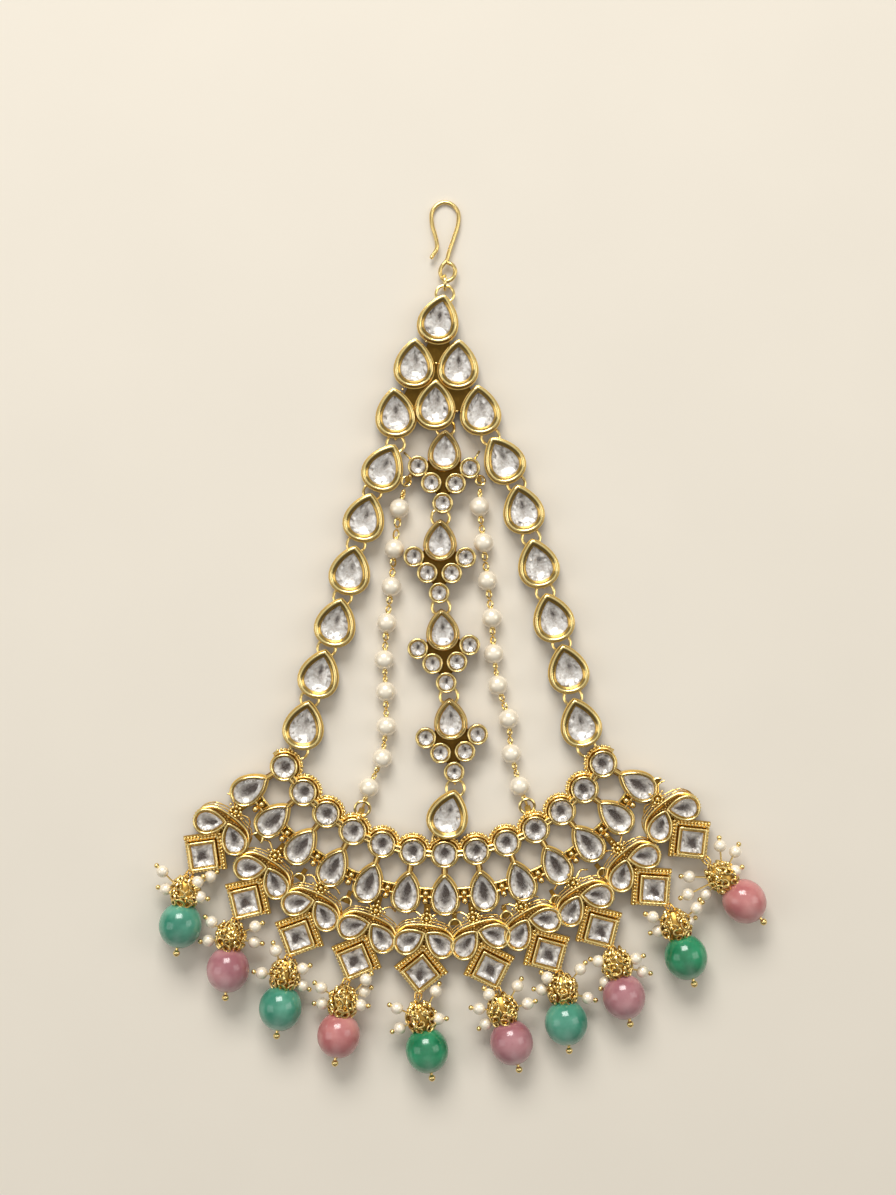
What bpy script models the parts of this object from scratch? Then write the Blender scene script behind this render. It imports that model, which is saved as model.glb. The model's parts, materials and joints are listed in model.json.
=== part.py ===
"""Side head ornament of set stones: a wire hook, an apex of six pear settings, two strands of
pear drops, a centre strand of stone clusters, two pearl strings, a pierced crescent band and
ten pendants with beads. It lies on its back: X to the right, Y towards the hook, +Z up.
Lengths are in metres. Places are taken from the centre of the crescent's circle, and the whole
is then set down with the middle of its outline at the origin and its lowest point at Z = 0.
"""

import math
from collections import namedtuple

import bmesh
import bpy
from mathutils import Vector

# Wires and clearances
CLEARANCE = 0.0003
LINK_WIRE = 0.0006
STAPLE_WIRE = 0.0005
HOOK_WIRE = 0.0006
OVERLAP = 0.0002

# Hook and the link below it
HOOK_LENGTH = 0.0159
HOOK_WIDTH = 0.0054
HOOK_LINK_DIAMETER = 0.0028
HOOK_LINK_WIRE = 0.0005

# Settings: height of a collet, depth of its stone, rise of the stone's crown
COLLET_HEIGHT = 0.0025
RECESS_DEPTH = 0.0008
CROWN_RISE = 0.0005
PLATE_THICKNESS = 0.0008

# Pear drops of the apex and the strands
DROP_WIDTH = 0.0077
DROP_LENGTH = 0.0096
DROP_RIM = 0.00065
DROP_WALL = 0.0005
RING_DIAMETER = 0.0036
RING_BEYOND_TIP = 0.0005

# Clusters of the centre strand
CLUSTER_PEAR_WIDTH = 0.0064
CLUSTER_PEAR_LENGTH = 0.0082
CLUSTER_ROUND_DIAMETER = 0.0042
CLUSTER_RIM = 0.0004
CLUSTER_WALL = 0.0003
CLUSTER_SPREAD = 0.0052
CLUSTER_DROP = 0.0106

# Crescent band, its middle round a set depth below the origin
BAND_DEPTH = 0.0376
BAND_ROUND_RADIUS = 0.0376
BAND_PEAR_RADIUS = 0.0458
BAND_PITCH_DEG = 9.7
BAND_FIRST_DEG = -57.6
BAND_SECTORS = 13
BAND_ROUND_DIAMETER = 0.0054
BAND_PEAR_WIDTH = 0.0055
BAND_PEAR_LENGTH = 0.0079
BAND_RIM = 0.00035
BAND_WALL = 0.00025
BAND_PLATE = 0.0012
BAND_RAIL = 0.0024
BAND_SPOKE = 0.0013
BAND_END_DEG = 3.6
ROSETTE_REACH = 0.0048
LUG_WIDTH = 0.0013

# Pendants
BAIL_LENGTH = 0.0026
BAIL_WIDTH = 0.0020
LEAF_WIDTH = 0.0048
LEAF_LENGTH = 0.0062
LEAF_RIM = 0.00045
LEAF_WALL = 0.0004
LEAF_SPREAD = 0.0028
DIAMOND_SIDE = 0.0059
DIAMOND_FLANGE = 0.0005
DIAMOND_FLANGE_HEIGHT = 0.0009
DIAMOND_RIM = 0.0005
DIAMOND_WALL = 0.0004
DIAMOND_DROP = 0.0089
EYE_WIRE = 0.0004
EYE_HOLE = 0.0008
BEAD_DIAMETER = 0.0086
BEAD_LENGTH = 0.0092
BEAD_HANG = 0.0097
CAP_DIAMETER = 0.0062
CAP_LENGTH = 0.0048
PIN_DIAMETER = 0.0007
PIN_BALL = 0.0015

# Pearl strings
PEARL_DIAMETER = 0.0040
STRING_DIAMETER = 0.0030
STRING_BAIL_LENGTH = 0.0030

# Greatest value of sin t sin(t/2), which the pear outline is scaled by
PEAR_WIDEST = 0.7698

# Sides of round things
DROP_SIDES = 10
SMALL_PEAR_SIDES = 8
ROUND_SIDES = 8
LINK_SIDES = 10
LINK_WIRE_SIDES = 5
BEAD_SIDES = 10
CAP_SIDES = 8

# Hook route: across as a share of the hook's width, along as a share of its length, from the
# middle of the bow down to the eye, with the free tip first
HOOK_ROUTE = (
    (-0.50, 0.30),
    (-0.30, 0.42),
    (-0.36, 0.57),
    (-0.48, 0.72),
    (-0.50, 0.86),
    (-0.36, 0.95),
    (-0.12, 1.00),
    (0.12, 1.00),
    (0.36, 0.95),
    (0.50, 0.86),
    (0.48, 0.72),
    (0.32, 0.54),
    (0.16, 0.38),
    (0.06, 0.26),
    (-0.12, 0.18),
    (-0.18, 0.10),
    (-0.06, 0.02),
    (0.12, 0.00),
    (0.32, 0.05),
    (0.38, 0.13),
    (0.28, 0.20),
)
HOOK_LEVEL_SHARE = 0.2
HOOK_ABOVE_RING = 0.00085

# Apex settings: across in drop widths and up in drop lengths from the middle setting of the
# lowest row, and the lean of the tip in degrees, to the right
ApexRow = namedtuple("ApexRow", "across up lean")
APEX_FOOT = (-0.0015, 0.0526)
APEX = (
    ApexRow(0.10, 1.79, 13.0),
    ApexRow(-0.54, 0.86, 2.0),
    ApexRow(0.60, 0.84, 2.0),
    ApexRow(-1.03, -0.17, -5.0),
    ApexRow(0.00, 0.00, 2.0),
    ApexRow(1.17, -0.11, -6.0),
)

# Routes of the strands: place of each drop or cluster, and the lean of its tip to the right
Place = namedtuple("Place", "x y lean")
LEFT_STRAND = (
    Place(-0.0117, 0.0400, 25.0),
    Place(-0.0156, 0.0300, 16.0),
    Place(-0.0185, 0.0194, 12.0),
    Place(-0.0214, 0.0089, 14.0),
    Place(-0.0247, -0.0014, 15.0),
    Place(-0.0278, -0.0117, 12.0),
)
RIGHT_STRAND = (
    Place(0.0121, 0.0416, -28.0),
    Place(0.0161, 0.0317, -14.0),
    Place(0.0191, 0.0208, -14.0),
    Place(0.0221, 0.0099, -16.0),
    Place(0.0251, -0.0004, -13.0),
    Place(0.0276, -0.0112, -15.0),
)
CENTRE_STRAND = (
    Place(0.0004, 0.0434, 2.0),
    Place(-0.0005, 0.0254, 1.0),
    Place(0.0000, 0.0074, -4.0),
    Place(0.0016, -0.0105, -4.0),
)
CENTRE_DROP = Place(0.0012, -0.0296, 15.0)
LEFT_PEARLS = (
    (-0.0087, 0.0318),
    (-0.0097, 0.0237),
    (-0.0103, 0.0161),
    (-0.0112, 0.0088),
    (-0.0117, 0.0014),
    (-0.0114, -0.0050),
    (-0.0113, -0.0120),
    (-0.0121, -0.0184),
    (-0.0148, -0.0243),
)
RIGHT_PEARLS = (
    (0.0074, 0.0322),
    (0.0084, 0.0249),
    (0.0090, 0.0173),
    (0.0099, 0.0098),
    (0.0103, 0.0026),
    (0.0111, -0.0037),
    (0.0133, -0.0105),
    (0.0138, -0.0175),
    (0.0155, -0.0240),
)
STRING_TOPS = ((-0.0073, 0.0372), (0.0076, 0.0374))
STRING_HOSTS = (3, 9)

# Cluster rounds: across in cluster spreads, down in cluster drops, from the pear's middle
CLUSTER_ROUNDS = ((-1.0, 0.32), (1.0, 0.32), (-0.47, 0.62), (0.47, 0.62), (0.0, 1.0))

# Pendants: place on the band and swings of plaque and bead from straight down, to the right,
# in degrees, the bead's hang as a share of the usual one, and its colour
Pendant = namedtuple("Pendant", "band plaque bead hang colour")
PENDANTS = (
    Pendant(-55.0, -36.7, -7.9, 1.01, "teal"),
    Pendant(-41.6, -31.9, -5.1, 0.93, "mauve"),
    Pendant(-28.8, -25.1, -7.5, 0.96, "teal"),
    Pendant(-15.3, -22.4, -7.4, 1.03, "pink"),
    Pendant(-3.6, -6.2, 10.2, 1.06, "green"),
    Pendant(6.9, 18.5, 15.4, 1.02, "mauve"),
    Pendant(18.1, 30.0, 6.1, 0.94, "teal"),
    Pendant(31.1, 30.5, 12.8, 0.92, "mauve"),
    Pendant(44.0, 41.0, 17.3, 1.02, "green"),
    Pendant(58.4, 38.6, 43.0, 1.09, "pink"),
)

# Cap and pin profile: radius as a share of the cap's, distance as a share of its length
CAP_PROFILE = ((0.0, 0.0), (0.34, 0.0), (0.88, 0.45), (0.97, 1.0))
CAP_LAP = 0.18

# Where the leaves' tips lie along a pendant's bail
TIP_SHARE = 0.7

# Levels
STAPLE_LEVEL = STAPLE_WIRE / 2
LINK_LEVEL = STAPLE_WIRE + CLEARANCE + LINK_WIRE / 2
BACK = STAPLE_WIRE + LINK_WIRE + 2 * CLEARANCE
FUSED_LEVEL = BACK - LINK_WIRE / 2 + OVERLAP
EYE_LEVEL = BACK + DIAMOND_FLANGE_HEIGHT / 2
BEAD_LEVEL = BEAD_DIAMETER / 2

COLOURS = {
    "gold": (0.83, 0.58, 0.20),
    "pearl": (0.88, 0.84, 0.74),
    "teal": (0.07, 0.36, 0.26),
    "green": (0.02, 0.30, 0.12),
    "mauve": (0.42, 0.17, 0.24),
    "pink": (0.58, 0.20, 0.24),
}


def clear_scene():
    for item in list(bpy.data.objects):
        bpy.data.objects.remove(item)


def collection(name, hidden=False):
    made = bpy.data.collections.new(name)
    made.hide_render = hidden
    bpy.context.scene.collection.children.link(made)
    return made


def material(name, colour, metallic, roughness):
    made = bpy.data.materials.new(name)
    made.use_nodes = True
    shader = made.node_tree.nodes["Principled BSDF"]
    shader.inputs["Base Color"].default_value = (*colour, 1.0)
    shader.inputs["Metallic"].default_value = metallic
    shader.inputs["Roughness"].default_value = roughness
    return made


def new_object(name, mesh, group, parent):
    made = bpy.data.objects.new(name, mesh)
    group.objects.link(made)
    made.parent = parent
    return made


def object_from_bmesh(name, shape, group, parent):
    bmesh.ops.recalc_face_normals(shape, faces=shape.faces)
    mesh = bpy.data.meshes.new(name)
    shape.to_mesh(mesh)
    shape.free()
    return new_object(name, mesh, group, parent)


def up(lean):
    """Unit vector that leans to the right of straight up by this many degrees."""
    return Vector((math.sin(math.radians(lean)), math.cos(math.radians(lean)), 0.0))


def down(swing):
    """Unit vector that swings to the right of straight down by this many degrees."""
    return Vector((math.sin(math.radians(swing)), -math.cos(math.radians(swing)), 0.0))


def flat(x, y):
    return Vector((x, y, 0.0))


def pear_outline(width, length, sides):
    """A pear with its tip at +Y: across = sin t sin(t/2), along = cos t, t once round."""
    points = []
    for k in range(sides):
        t = 2 * math.pi * k / sides
        across = math.sin(t) * abs(math.sin(t / 2)) / PEAR_WIDEST
        points.append((across * width / 2, math.cos(t) * length / 2))
    return points


def round_outline(diameter):
    turn = 2 * math.pi / ROUND_SIDES
    radius = diameter / 2
    return [
        (radius * math.sin(turn * (k + 0.5)), radius * math.cos(turn * (k + 0.5)))
        for k in range(ROUND_SIDES)
    ]


def square_outline(side):
    """A square with a corner at +Y."""
    reach = side / math.sqrt(2)
    return [(0.0, reach), (reach, 0.0), (0.0, -reach), (-reach, 0.0)]


def stone_steps(rim, wall, crown):
    """Insets and rises that turn a flat top into a sloping rim and a stone with its table."""
    return ((rim + wall, -RECESS_DEPTH), (crown, CROWN_RISE))


def lift(shape, face, rise):
    """Extrudes a face upwards and returns the face at its top."""
    made = bmesh.ops.extrude_face_region(shape, geom=[face])["geom"]
    top = next(item for item in made if isinstance(item, bmesh.types.BMFace))
    bmesh.ops.translate(shape, vec=(0.0, 0.0, rise), verts=top.verts)
    return top


def plate(name, outline, low, high, group, parent, steps=()):
    """The outline extruded from low to high, its top then drawn in and raised step by step."""
    shape = bmesh.new()
    corners = [shape.verts.new((x, y, low)) for x, y in outline]
    top = lift(shape, shape.faces.new(corners), high - low)
    reach = Vector((max(x for x, _ in outline), max(y for _, y in outline)))
    for inset, rise in steps:
        below = top
        top = lift(shape, below, rise)
        bmesh.ops.delete(shape, geom=[below], context="FACES_ONLY")
        share = (1 - inset / reach.x, 1 - inset / reach.y, 1.0)
        bmesh.ops.scale(shape, vec=share, verts=top.verts)
        reach -= Vector((inset, inset))
    return object_from_bmesh(name, shape, group, parent)


def set_down(item, place, lean):
    item.location = (place[0], place[1], 0.0)
    item.rotation_euler = (0.0, 0.0, -math.radians(lean))
    return item


def torus(name, centre, axis, diameter, wire_diameter, group, parent):
    """A link of round wire; its diameter is taken at the middle of the wire."""
    bpy.ops.mesh.primitive_torus_add(
        major_segments=LINK_SIDES,
        minor_segments=LINK_WIRE_SIDES,
        major_radius=diameter / 2,
        minor_radius=wire_diameter / 2,
    )
    made = bpy.context.object
    made.name = name
    for other in list(made.users_collection):
        other.objects.unlink(made)
    group.objects.link(made)
    made.parent = parent
    made.location = centre
    made.rotation_euler = axis.to_track_quat("Z", "Y").to_euler()
    return made


def wire(name, points, diameter, bevel, group, parent):
    """A wire along the points, made a closed mesh."""
    curve = bpy.data.curves.new(name, "CURVE")
    curve.dimensions = "3D"
    curve.bevel_depth = diameter / 2
    curve.bevel_resolution = bevel
    curve.use_fill_caps = True
    spline = curve.splines.new("POLY")
    spline.points.add(len(points) - 1)
    for point, place in zip(spline.points, points):
        point.co = (*place, 1.0)
    return curve_to_mesh(name, curve, group, parent)


def curve_to_mesh(name, curve, group, parent):
    guide = bpy.data.objects.new(name + " guide", curve)
    bpy.context.scene.collection.objects.link(guide)
    bpy.context.view_layer.update()
    graph = bpy.context.evaluated_depsgraph_get()
    mesh = bpy.data.meshes.new_from_object(guide.evaluated_get(graph))
    bpy.data.objects.remove(guide)
    shape = bmesh.new()
    shape.from_mesh(mesh)
    bmesh.ops.remove_doubles(shape, verts=shape.verts, dist=1e-6)
    bmesh.ops.recalc_face_normals(shape, faces=shape.faces)
    shape.to_mesh(mesh)
    shape.free()
    return new_object(name, mesh, group, parent)


def turned(name, profile, sides, group, parent, closed=False):
    """A profile of (radius, height) points, from the top down its outer side, turned about Z."""
    shape = bmesh.new()
    points = [shape.verts.new((radius, 0.0, height)) for radius, height in profile]
    for first, second in zip(points, points[1:] + points[:1] if closed else points[1:]):
        shape.edges.new((first, second))
    mesh = bpy.data.meshes.new(name)
    shape.to_mesh(mesh)
    shape.free()
    made = new_object(name, mesh, group, parent)
    screw = made.modifiers.new("Turn", "SCREW")
    screw.axis = "Z"
    screw.steps = sides
    screw.render_steps = sides
    screw.use_merge_vertices = True
    screw.merge_threshold = 1e-6
    return made


def staple(name, at, along, roof, group, parent):
    """A soldered loop below a back: two posts and the bar that holds a link's wire up."""
    half = LINK_WIRE / 2 + CLEARANCE + STAPLE_WIRE / 2
    step = along.normalized() * half
    low = Vector((0.0, 0.0, STAPLE_LEVEL))
    high = Vector((0.0, 0.0, roof + OVERLAP))
    points = (at - step + high, at - step + low, at + step + low, at + step + high)
    return wire(name, points, STAPLE_WIRE, 0, group, parent)


def ring(name, centre, towards_host, diameter, group, parent):
    """A jump ring that lies in its host's staple and rises to the piece it is soldered to."""
    rise = FUSED_LEVEL - LINK_LEVEL
    along = towards_host.normalized() * diameter
    slope = (along - Vector((0.0, 0.0, rise))).normalized()
    across = Vector((0.0, 0.0, 1.0)).cross(slope)
    middle = centre + Vector((0.0, 0.0, (FUSED_LEVEL + LINK_LEVEL) / 2))
    return torus(name, middle, slope.cross(across), diameter, LINK_WIRE, group, parent)


class Workshop:
    """The collections, materials and parent that every piece shares."""

    def __init__(self):
        self.group = collection("Side head ornament")
        self.helpers = collection("Cutters and joined pieces", hidden=True)
        self.parent = bpy.data.objects.new("ornament", None)
        self.group.objects.link(self.parent)
        self.to_solder = []
        self.materials = {
            name: material(name, colour, *((1.0, 0.3) if name == "gold" else (0.0, 0.2)))
            for name, colour in COLOURS.items()
        }

    def node(self, base, name, finish, joined=()):
        """Makes the base a piece of the ornament, with the other shapes fused to it."""
        base.name = name
        for other in list(base.users_collection):
            other.objects.unlink(base)
        self.group.objects.link(base)
        base.data.materials.clear()
        base.data.materials.append(self.materials[finish])
        if joined:
            pieces = bpy.data.collections.new(name + " pieces")
            pieces.hide_render = True
            self.helpers.children.link(pieces)
            for item in joined:
                for other in list(item.users_collection):
                    other.objects.unlink(item)
                pieces.objects.link(item)
                item.hide_render = True
                item.display_type = "WIRE"
            self.to_solder.append((base, pieces))

    def solder(self):
        """Fuses each piece with its joined shapes, once they are all made."""
        for base, pieces in self.to_solder:
            fuse = base.modifiers.new("Solder", "BOOLEAN")
            fuse.operation = "UNION"
            fuse.solver = "EXACT"
            fuse.operand_type = "COLLECTION"
            fuse.collection = pieces

    def pear(self, name, size, rim, wall, place, lean, sides=SMALL_PEAR_SIDES, back=BACK):
        """A pear setting with its stone; size is its width and length."""
        steps = stone_steps(rim, wall, size[0] / 6)
        outline = pear_outline(*size, sides)
        made = plate(
            name, outline, back, back + COLLET_HEIGHT, self.helpers, self.parent, steps
        )
        return set_down(made, place, lean)

    def drop_pear(self, name, place):
        """The large pear setting of the apex and the strands."""
        size = (DROP_WIDTH, DROP_LENGTH)
        return self.pear(name, size, DROP_RIM, DROP_WALL, place, place.lean, DROP_SIDES)

    def round(self, name, diameter, rim, wall, place, lean, back=BACK):
        """A round setting with its stone."""
        steps = stone_steps(rim, wall, diameter / 8)
        outline = round_outline(diameter)
        made = plate(
            name, outline, back, back + COLLET_HEIGHT, self.helpers, self.parent, steps
        )
        return set_down(made, place, lean)

    def bar(self, name, start, end, width, low, high):
        """A flat bar between two places."""
        along = end - start
        side = Vector((along.y, -along.x, 0.0)).normalized() * width / 2
        outline = [start - side, end - side, end + side, start + side]
        return plate(
            name, [(p.x, p.y) for p in outline], low, high, self.helpers, self.parent
        )

    def staple(self, name, at, along, roof=BACK):
        return staple(name, at, along, roof, self.helpers, self.parent)

    def ring(self, name, centre, towards_host, diameter=RING_DIAMETER):
        return ring(name, centre, towards_host, diameter, self.helpers, self.parent)

    def bail(self, name, far, near, near_level, width=BAIL_WIDTH):
        """A U of wire: its bar lies across the far end at link height, its legs run to near."""
        along = (near - far).normalized()
        side = Vector((along.y, -along.x, 0.0)) * width / 2
        low = Vector((0.0, 0.0, LINK_LEVEL))
        high = Vector((0.0, 0.0, near_level))
        points = (near + side + high, far + side + low, far - side + low, near - side + high)
        points = [tuple(point) for point in points]
        return wire(name, points, LINK_WIRE, 1, self.helpers, self.parent)

    def torus(self, name, centre, axis, diameter, wire_diameter):
        return torus(name, centre, axis, diameter, wire_diameter, self.helpers, self.parent)


def tip_ring_centre(place, length=DROP_LENGTH):
    """Middle of the jump ring behind a drop's tip."""
    return flat(place.x, place.y) + up(place.lean) * (length / 2 + RING_BEYOND_TIP)


def staple_place(ring_centre, host, diameter=RING_DIAMETER):
    """Where a host's staple holds a ring: the point of the ring that lies nearest the host."""
    towards = (host - ring_centre).normalized()
    return ring_centre + towards * diameter / 2, towards


def apex_places():
    return [
        Place(APEX_FOOT[0] + row.across * DROP_WIDTH, APEX_FOOT[1] + row.up * DROP_LENGTH, row.lean)
        for row in APEX
    ]


def cluster_round_places(place):
    """Middles of a cluster's five round stones."""
    tip = up(place.lean)
    right = Vector((tip.y, -tip.x, 0.0))
    return [
        flat(place.x, place.y) + right * across * CLUSTER_SPREAD - tip * fall * CLUSTER_DROP
        for across, fall in CLUSTER_ROUNDS
    ]


def band_point(angle, radius):
    """A place on the band; its circle's centre keeps the middle round at the band's depth."""
    return down(angle) * radius + flat(0.0, BAND_ROUND_RADIUS - BAND_DEPTH)


def band_angles():
    return [BAND_FIRST_DEG + BAND_PITCH_DEG * k for k in range(BAND_SECTORS)]


def apex_ring_top():
    return tip_ring_centre(apex_places()[0]) + Vector((0.0, RING_DIAMETER / 2, 0.0))


def hook_foot():
    """Foot of the hook's eye, above the ring behind the top setting's tip."""
    return apex_ring_top() + Vector((0.0, HOOK_ABOVE_RING, 0.0))


def make_hook(shop):
    foot = hook_foot()
    slope_start = foot.y + HOOK_LENGTH * HOOK_LEVEL_SHARE
    slope_run = HOOK_LENGTH * (1 - HOOK_LEVEL_SHARE)
    points = []
    for across, along in HOOK_ROUTE:
        y = foot.y + along * HOOK_LENGTH
        share = max(0.0, (y - slope_start) / slope_run)
        level = LINK_LEVEL + OVERLAP - share * (LINK_LEVEL + OVERLAP - HOOK_WIRE / 2)
        points.append((foot.x + across * HOOK_WIDTH, y, level))
    made = wire("hook", points, HOOK_WIRE, 1, shop.helpers, shop.parent)
    shop.node(made, "hook", "gold")


def make_hook_link(shop):
    middle = (apex_ring_top() + hook_foot()) / 2
    middle.z = HOOK_LINK_DIAMETER / 2 + HOOK_LINK_WIRE / 2
    link = shop.torus(
        "hook_link", middle, Vector((1.0, 0.0, 0.0)), HOOK_LINK_DIAMETER, HOOK_LINK_WIRE
    )
    shop.node(link, "hook_link", "gold")


def make_apex(shop):
    places = apex_places()
    pears = [
        shop.drop_pear(f"apex pear {k}", place)
        for k, place in enumerate(places)
    ]
    corners = [(places[k].x, places[k].y) for k in (0, 3, 5)]
    low = BACK + OVERLAP
    backing = plate(
        "apex backing", corners, low, low + PLATE_THICKNESS, shop.helpers, shop.parent
    )
    joined = pears[1:] + [backing]
    joined.append(shop.ring("apex ring", tip_ring_centre(places[0]), Vector((0.0, 1.0, 0.0))))
    for host, hung in zip(places[3:], (LEFT_STRAND[0], CENTRE_STRAND[0], RIGHT_STRAND[0])):
        length = CLUSTER_PEAR_LENGTH if hung is CENTRE_STRAND[0] else DROP_LENGTH
        at, along = staple_place(tip_ring_centre(hung, length), flat(host.x, host.y))
        joined.append(shop.staple("apex staple", at, along))
    shop.node(pears[0], "apex_cluster", "gold", joined)


def make_drop(shop, name, place, host, next_ring):
    """One pear drop: its setting, the ring behind its tip and the staple at its foot."""
    here = flat(place.x, place.y)
    pear = shop.drop_pear(name, place)
    centre = tip_ring_centre(place)
    at, along = staple_place(next_ring, here)
    joined = [
        shop.ring(name + " ring", centre, host - centre),
        shop.staple(name + " staple", at, along),
    ]
    shop.node(pear, name, "gold", joined)


def band_ring_centre(last):
    """Middle of the ring on the band that holds a strand's last drop."""
    return flat(last.x, last.y) - up(last.lean) * (DROP_LENGTH / 2 + RING_BEYOND_TIP)


def make_strand(shop, side, route, host):
    rings = [tip_ring_centre(place) for place in route] + [band_ring_centre(route[-1])]
    for k, place in enumerate(route):
        make_drop(shop, f"{side}_drop_{k + 1}", place, host, rings[k + 1])
        host = flat(place.x, place.y)


def make_cluster(shop, k, place, host, next_ring):
    """A pear and five rounds on a backing plate, hung by a ring behind the pear's tip."""
    name = f"centre_cluster_{k + 1}"
    here = flat(place.x, place.y)
    size = (CLUSTER_PEAR_WIDTH, CLUSTER_PEAR_LENGTH)
    pear = shop.pear(name, size, CLUSTER_RIM, CLUSTER_WALL, place, place.lean)
    rounds = cluster_round_places(place)
    joined = [
        shop.round(
            f"{name} round", CLUSTER_ROUND_DIAMETER, CLUSTER_RIM, CLUSTER_WALL, at, place.lean
        )
        for at in rounds
    ]
    corners = [here, rounds[1], rounds[4], rounds[0]]
    low = BACK + OVERLAP
    joined.append(
        plate(
            f"{name} backing",
            [(p.x, p.y) for p in corners],
            low,
            low + PLATE_THICKNESS,
            shop.helpers,
            shop.parent,
        )
    )
    centre = tip_ring_centre(place, CLUSTER_PEAR_LENGTH)
    joined.append(shop.ring(f"{name} ring", centre, host - centre))
    at, along = staple_place(next_ring, rounds[4])
    joined.append(shop.staple(f"{name} staple", at, along))
    if k == 0:
        routes = (LEFT_PEARLS, RIGHT_PEARLS)
        for top, route, side in zip(STRING_TOPS, routes, rounds[:2]):
            joined += lug(shop, name, side, *bail_place(route[0], flat(*top))[1:])
    shop.node(pear, name, "gold", joined)


def bail_place(pearl, middle):
    """Where a string's tube ends at its last pearl, where its bail's bar lies, and the way out."""
    outward = (middle - flat(*pearl)).normalized()
    seat = flat(*pearl) + outward * PEARL_DIAMETER / 2
    return seat, middle + outward * STRING_BAIL_LENGTH / 2, outward


def lug(shop, name, host, at, along):
    """A flat arm from a setting's middle to a pad, with the staple that holds a string's bail."""
    reach = along * (LINK_WIRE / 2 + CLEARANCE + STAPLE_WIRE)
    high = BACK + PLATE_THICKNESS
    return [
        shop.bar(f"{name} lug pad", at - reach, at + reach, LUG_WIDTH, BACK, high),
        shop.bar(f"{name} lug", host, at, LUG_WIDTH, BACK + OVERLAP, high + OVERLAP),
        shop.staple(f"{name} lug staple", at, along),
    ]


def make_centre_strand(shop, host):
    lengths = [CLUSTER_PEAR_LENGTH] * len(CENTRE_STRAND) + [DROP_LENGTH]
    stations = list(CENTRE_STRAND) + [CENTRE_DROP]
    rings = [tip_ring_centre(place, length) for place, length in zip(stations, lengths)]
    for k, place in enumerate(CENTRE_STRAND):
        make_cluster(shop, k, place, host, rings[k + 1])
        host = cluster_round_places(place)[4]
    make_drop(shop, "centre_drop", CENTRE_DROP, host, band_ring_centre(CENTRE_DROP))


def string_end(route, host):
    """Middle of the bail at a string's lower end, on the way from its last pearl to the band."""
    last = flat(*route[-1])
    away = (last - host).normalized()
    return host + away * (BAND_ROUND_DIAMETER / 2 + STRING_BAIL_LENGTH / 2 + CLEARANCE)


def make_pearl_string(shop, side, route, top, host):
    """A pearl string as one tube at the height of its pearls, with a wire bail at each end."""
    name = f"{side}_pearl_string"
    level = Vector((0.0, 0.0, PEARL_DIAMETER / 2))
    pearls = [flat(*place) for place in route]
    first, top_bar, _ = bail_place(route[0], flat(*top))
    last, end_bar, _ = bail_place(route[-1], string_end(route, host))
    run = [first, *pearls[1:-1], last]
    base = wire(
        name, [tuple(p + level) for p in run], STRING_DIAMETER, 2, shop.helpers, shop.parent
    )
    joined = [
        shop.bail(f"{name} bail", bar, pearl, LINK_LEVEL, PEARL_DIAMETER / 3)
        for bar, pearl in ((top_bar, pearls[0]), (end_bar, pearls[-1]))
    ]
    shop.node(base, name, "pearl", joined)


def arc(radius, first, last, steps):
    """Points of an arc of the band, angles in degrees."""
    return [
        band_point(first + (last - first) * k / steps, radius) for k in range(steps + 1)
    ]


def add_loop(curve, points):
    spline = curve.splines.new("POLY")
    spline.points.add(len(points) - 1)
    for point, place in zip(spline.points, points):
        point.co = (place.x, place.y, 0.0, 1.0)
    spline.use_cyclic_u = True


def band_ladder(shop):
    """The pierced plate behind the band: two rails and the spokes between them."""
    angles = band_angles()
    curve = bpy.data.curves.new("band ladder", "CURVE")
    curve.dimensions = "2D"
    curve.fill_mode = "BOTH"
    curve.extrude = BAND_PLATE / 2
    first = angles[0] - BAND_END_DEG
    last = angles[-1] + BAND_END_DEG
    inner = BAND_ROUND_RADIUS - BAND_RAIL / 2
    outer = BAND_PEAR_RADIUS + BAND_RAIL / 2
    steps = BAND_SECTORS
    add_loop(curve, arc(outer, first, last, steps) + arc(inner, last, first, steps))
    for left, right in zip(angles, angles[1:]):
        low, high = inner + BAND_RAIL, outer - BAND_RAIL
        lower = math.degrees(BAND_SPOKE / 2 / low)
        upper = math.degrees(BAND_SPOKE / 2 / high)
        hole = arc(high, left + upper, right - upper, 2)
        hole += arc(low, right - lower, left + lower, 2)
        add_loop(curve, hole)
    ladder = curve_to_mesh("band ladder", curve, shop.helpers, shop.parent)
    ladder.location.z = BAND_PLATE / 2
    return ladder


def rosette_place(pendant):
    return band_point(pendant.band, BAND_PEAR_RADIUS + ROSETTE_REACH)


def band_edge(shop, pendant):
    """The arm at one rosette on the band's outer edge, and the staple for a pendant's bail."""
    at = rosette_place(pendant)
    along = down(pendant.plaque)
    start = band_point(pendant.band, BAND_PEAR_RADIUS)
    end = at + (at - start).normalized() * (LINK_WIRE / 2 + CLEARANCE + STAPLE_WIRE)
    root = band_point(pendant.band, BAND_PEAR_RADIUS + BAND_RAIL / 2)
    high = BACK + PLATE_THICKNESS
    return [
        shop.bar("band arm", start, end, LUG_WIDTH, BACK, high),
        shop.bar("band arm root", start, root, LUG_WIDTH, BAND_PLATE - OVERLAP, high - OVERLAP),
        shop.staple("band edge staple", at, along),
    ]


def band_ring(shop, host, last):
    """The ring that holds a strand's last drop, and the arm from a round setting to it."""
    centre = band_ring_centre(last)
    at = centre + (host - centre).normalized() * RING_DIAMETER / 2
    arm = shop.bar("band ring arm", host, at, LUG_WIDTH, BAND_PLATE / 2, FUSED_LEVEL)
    return [arm, shop.ring("band ring", centre, flat(last.x, last.y) - centre)]


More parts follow.
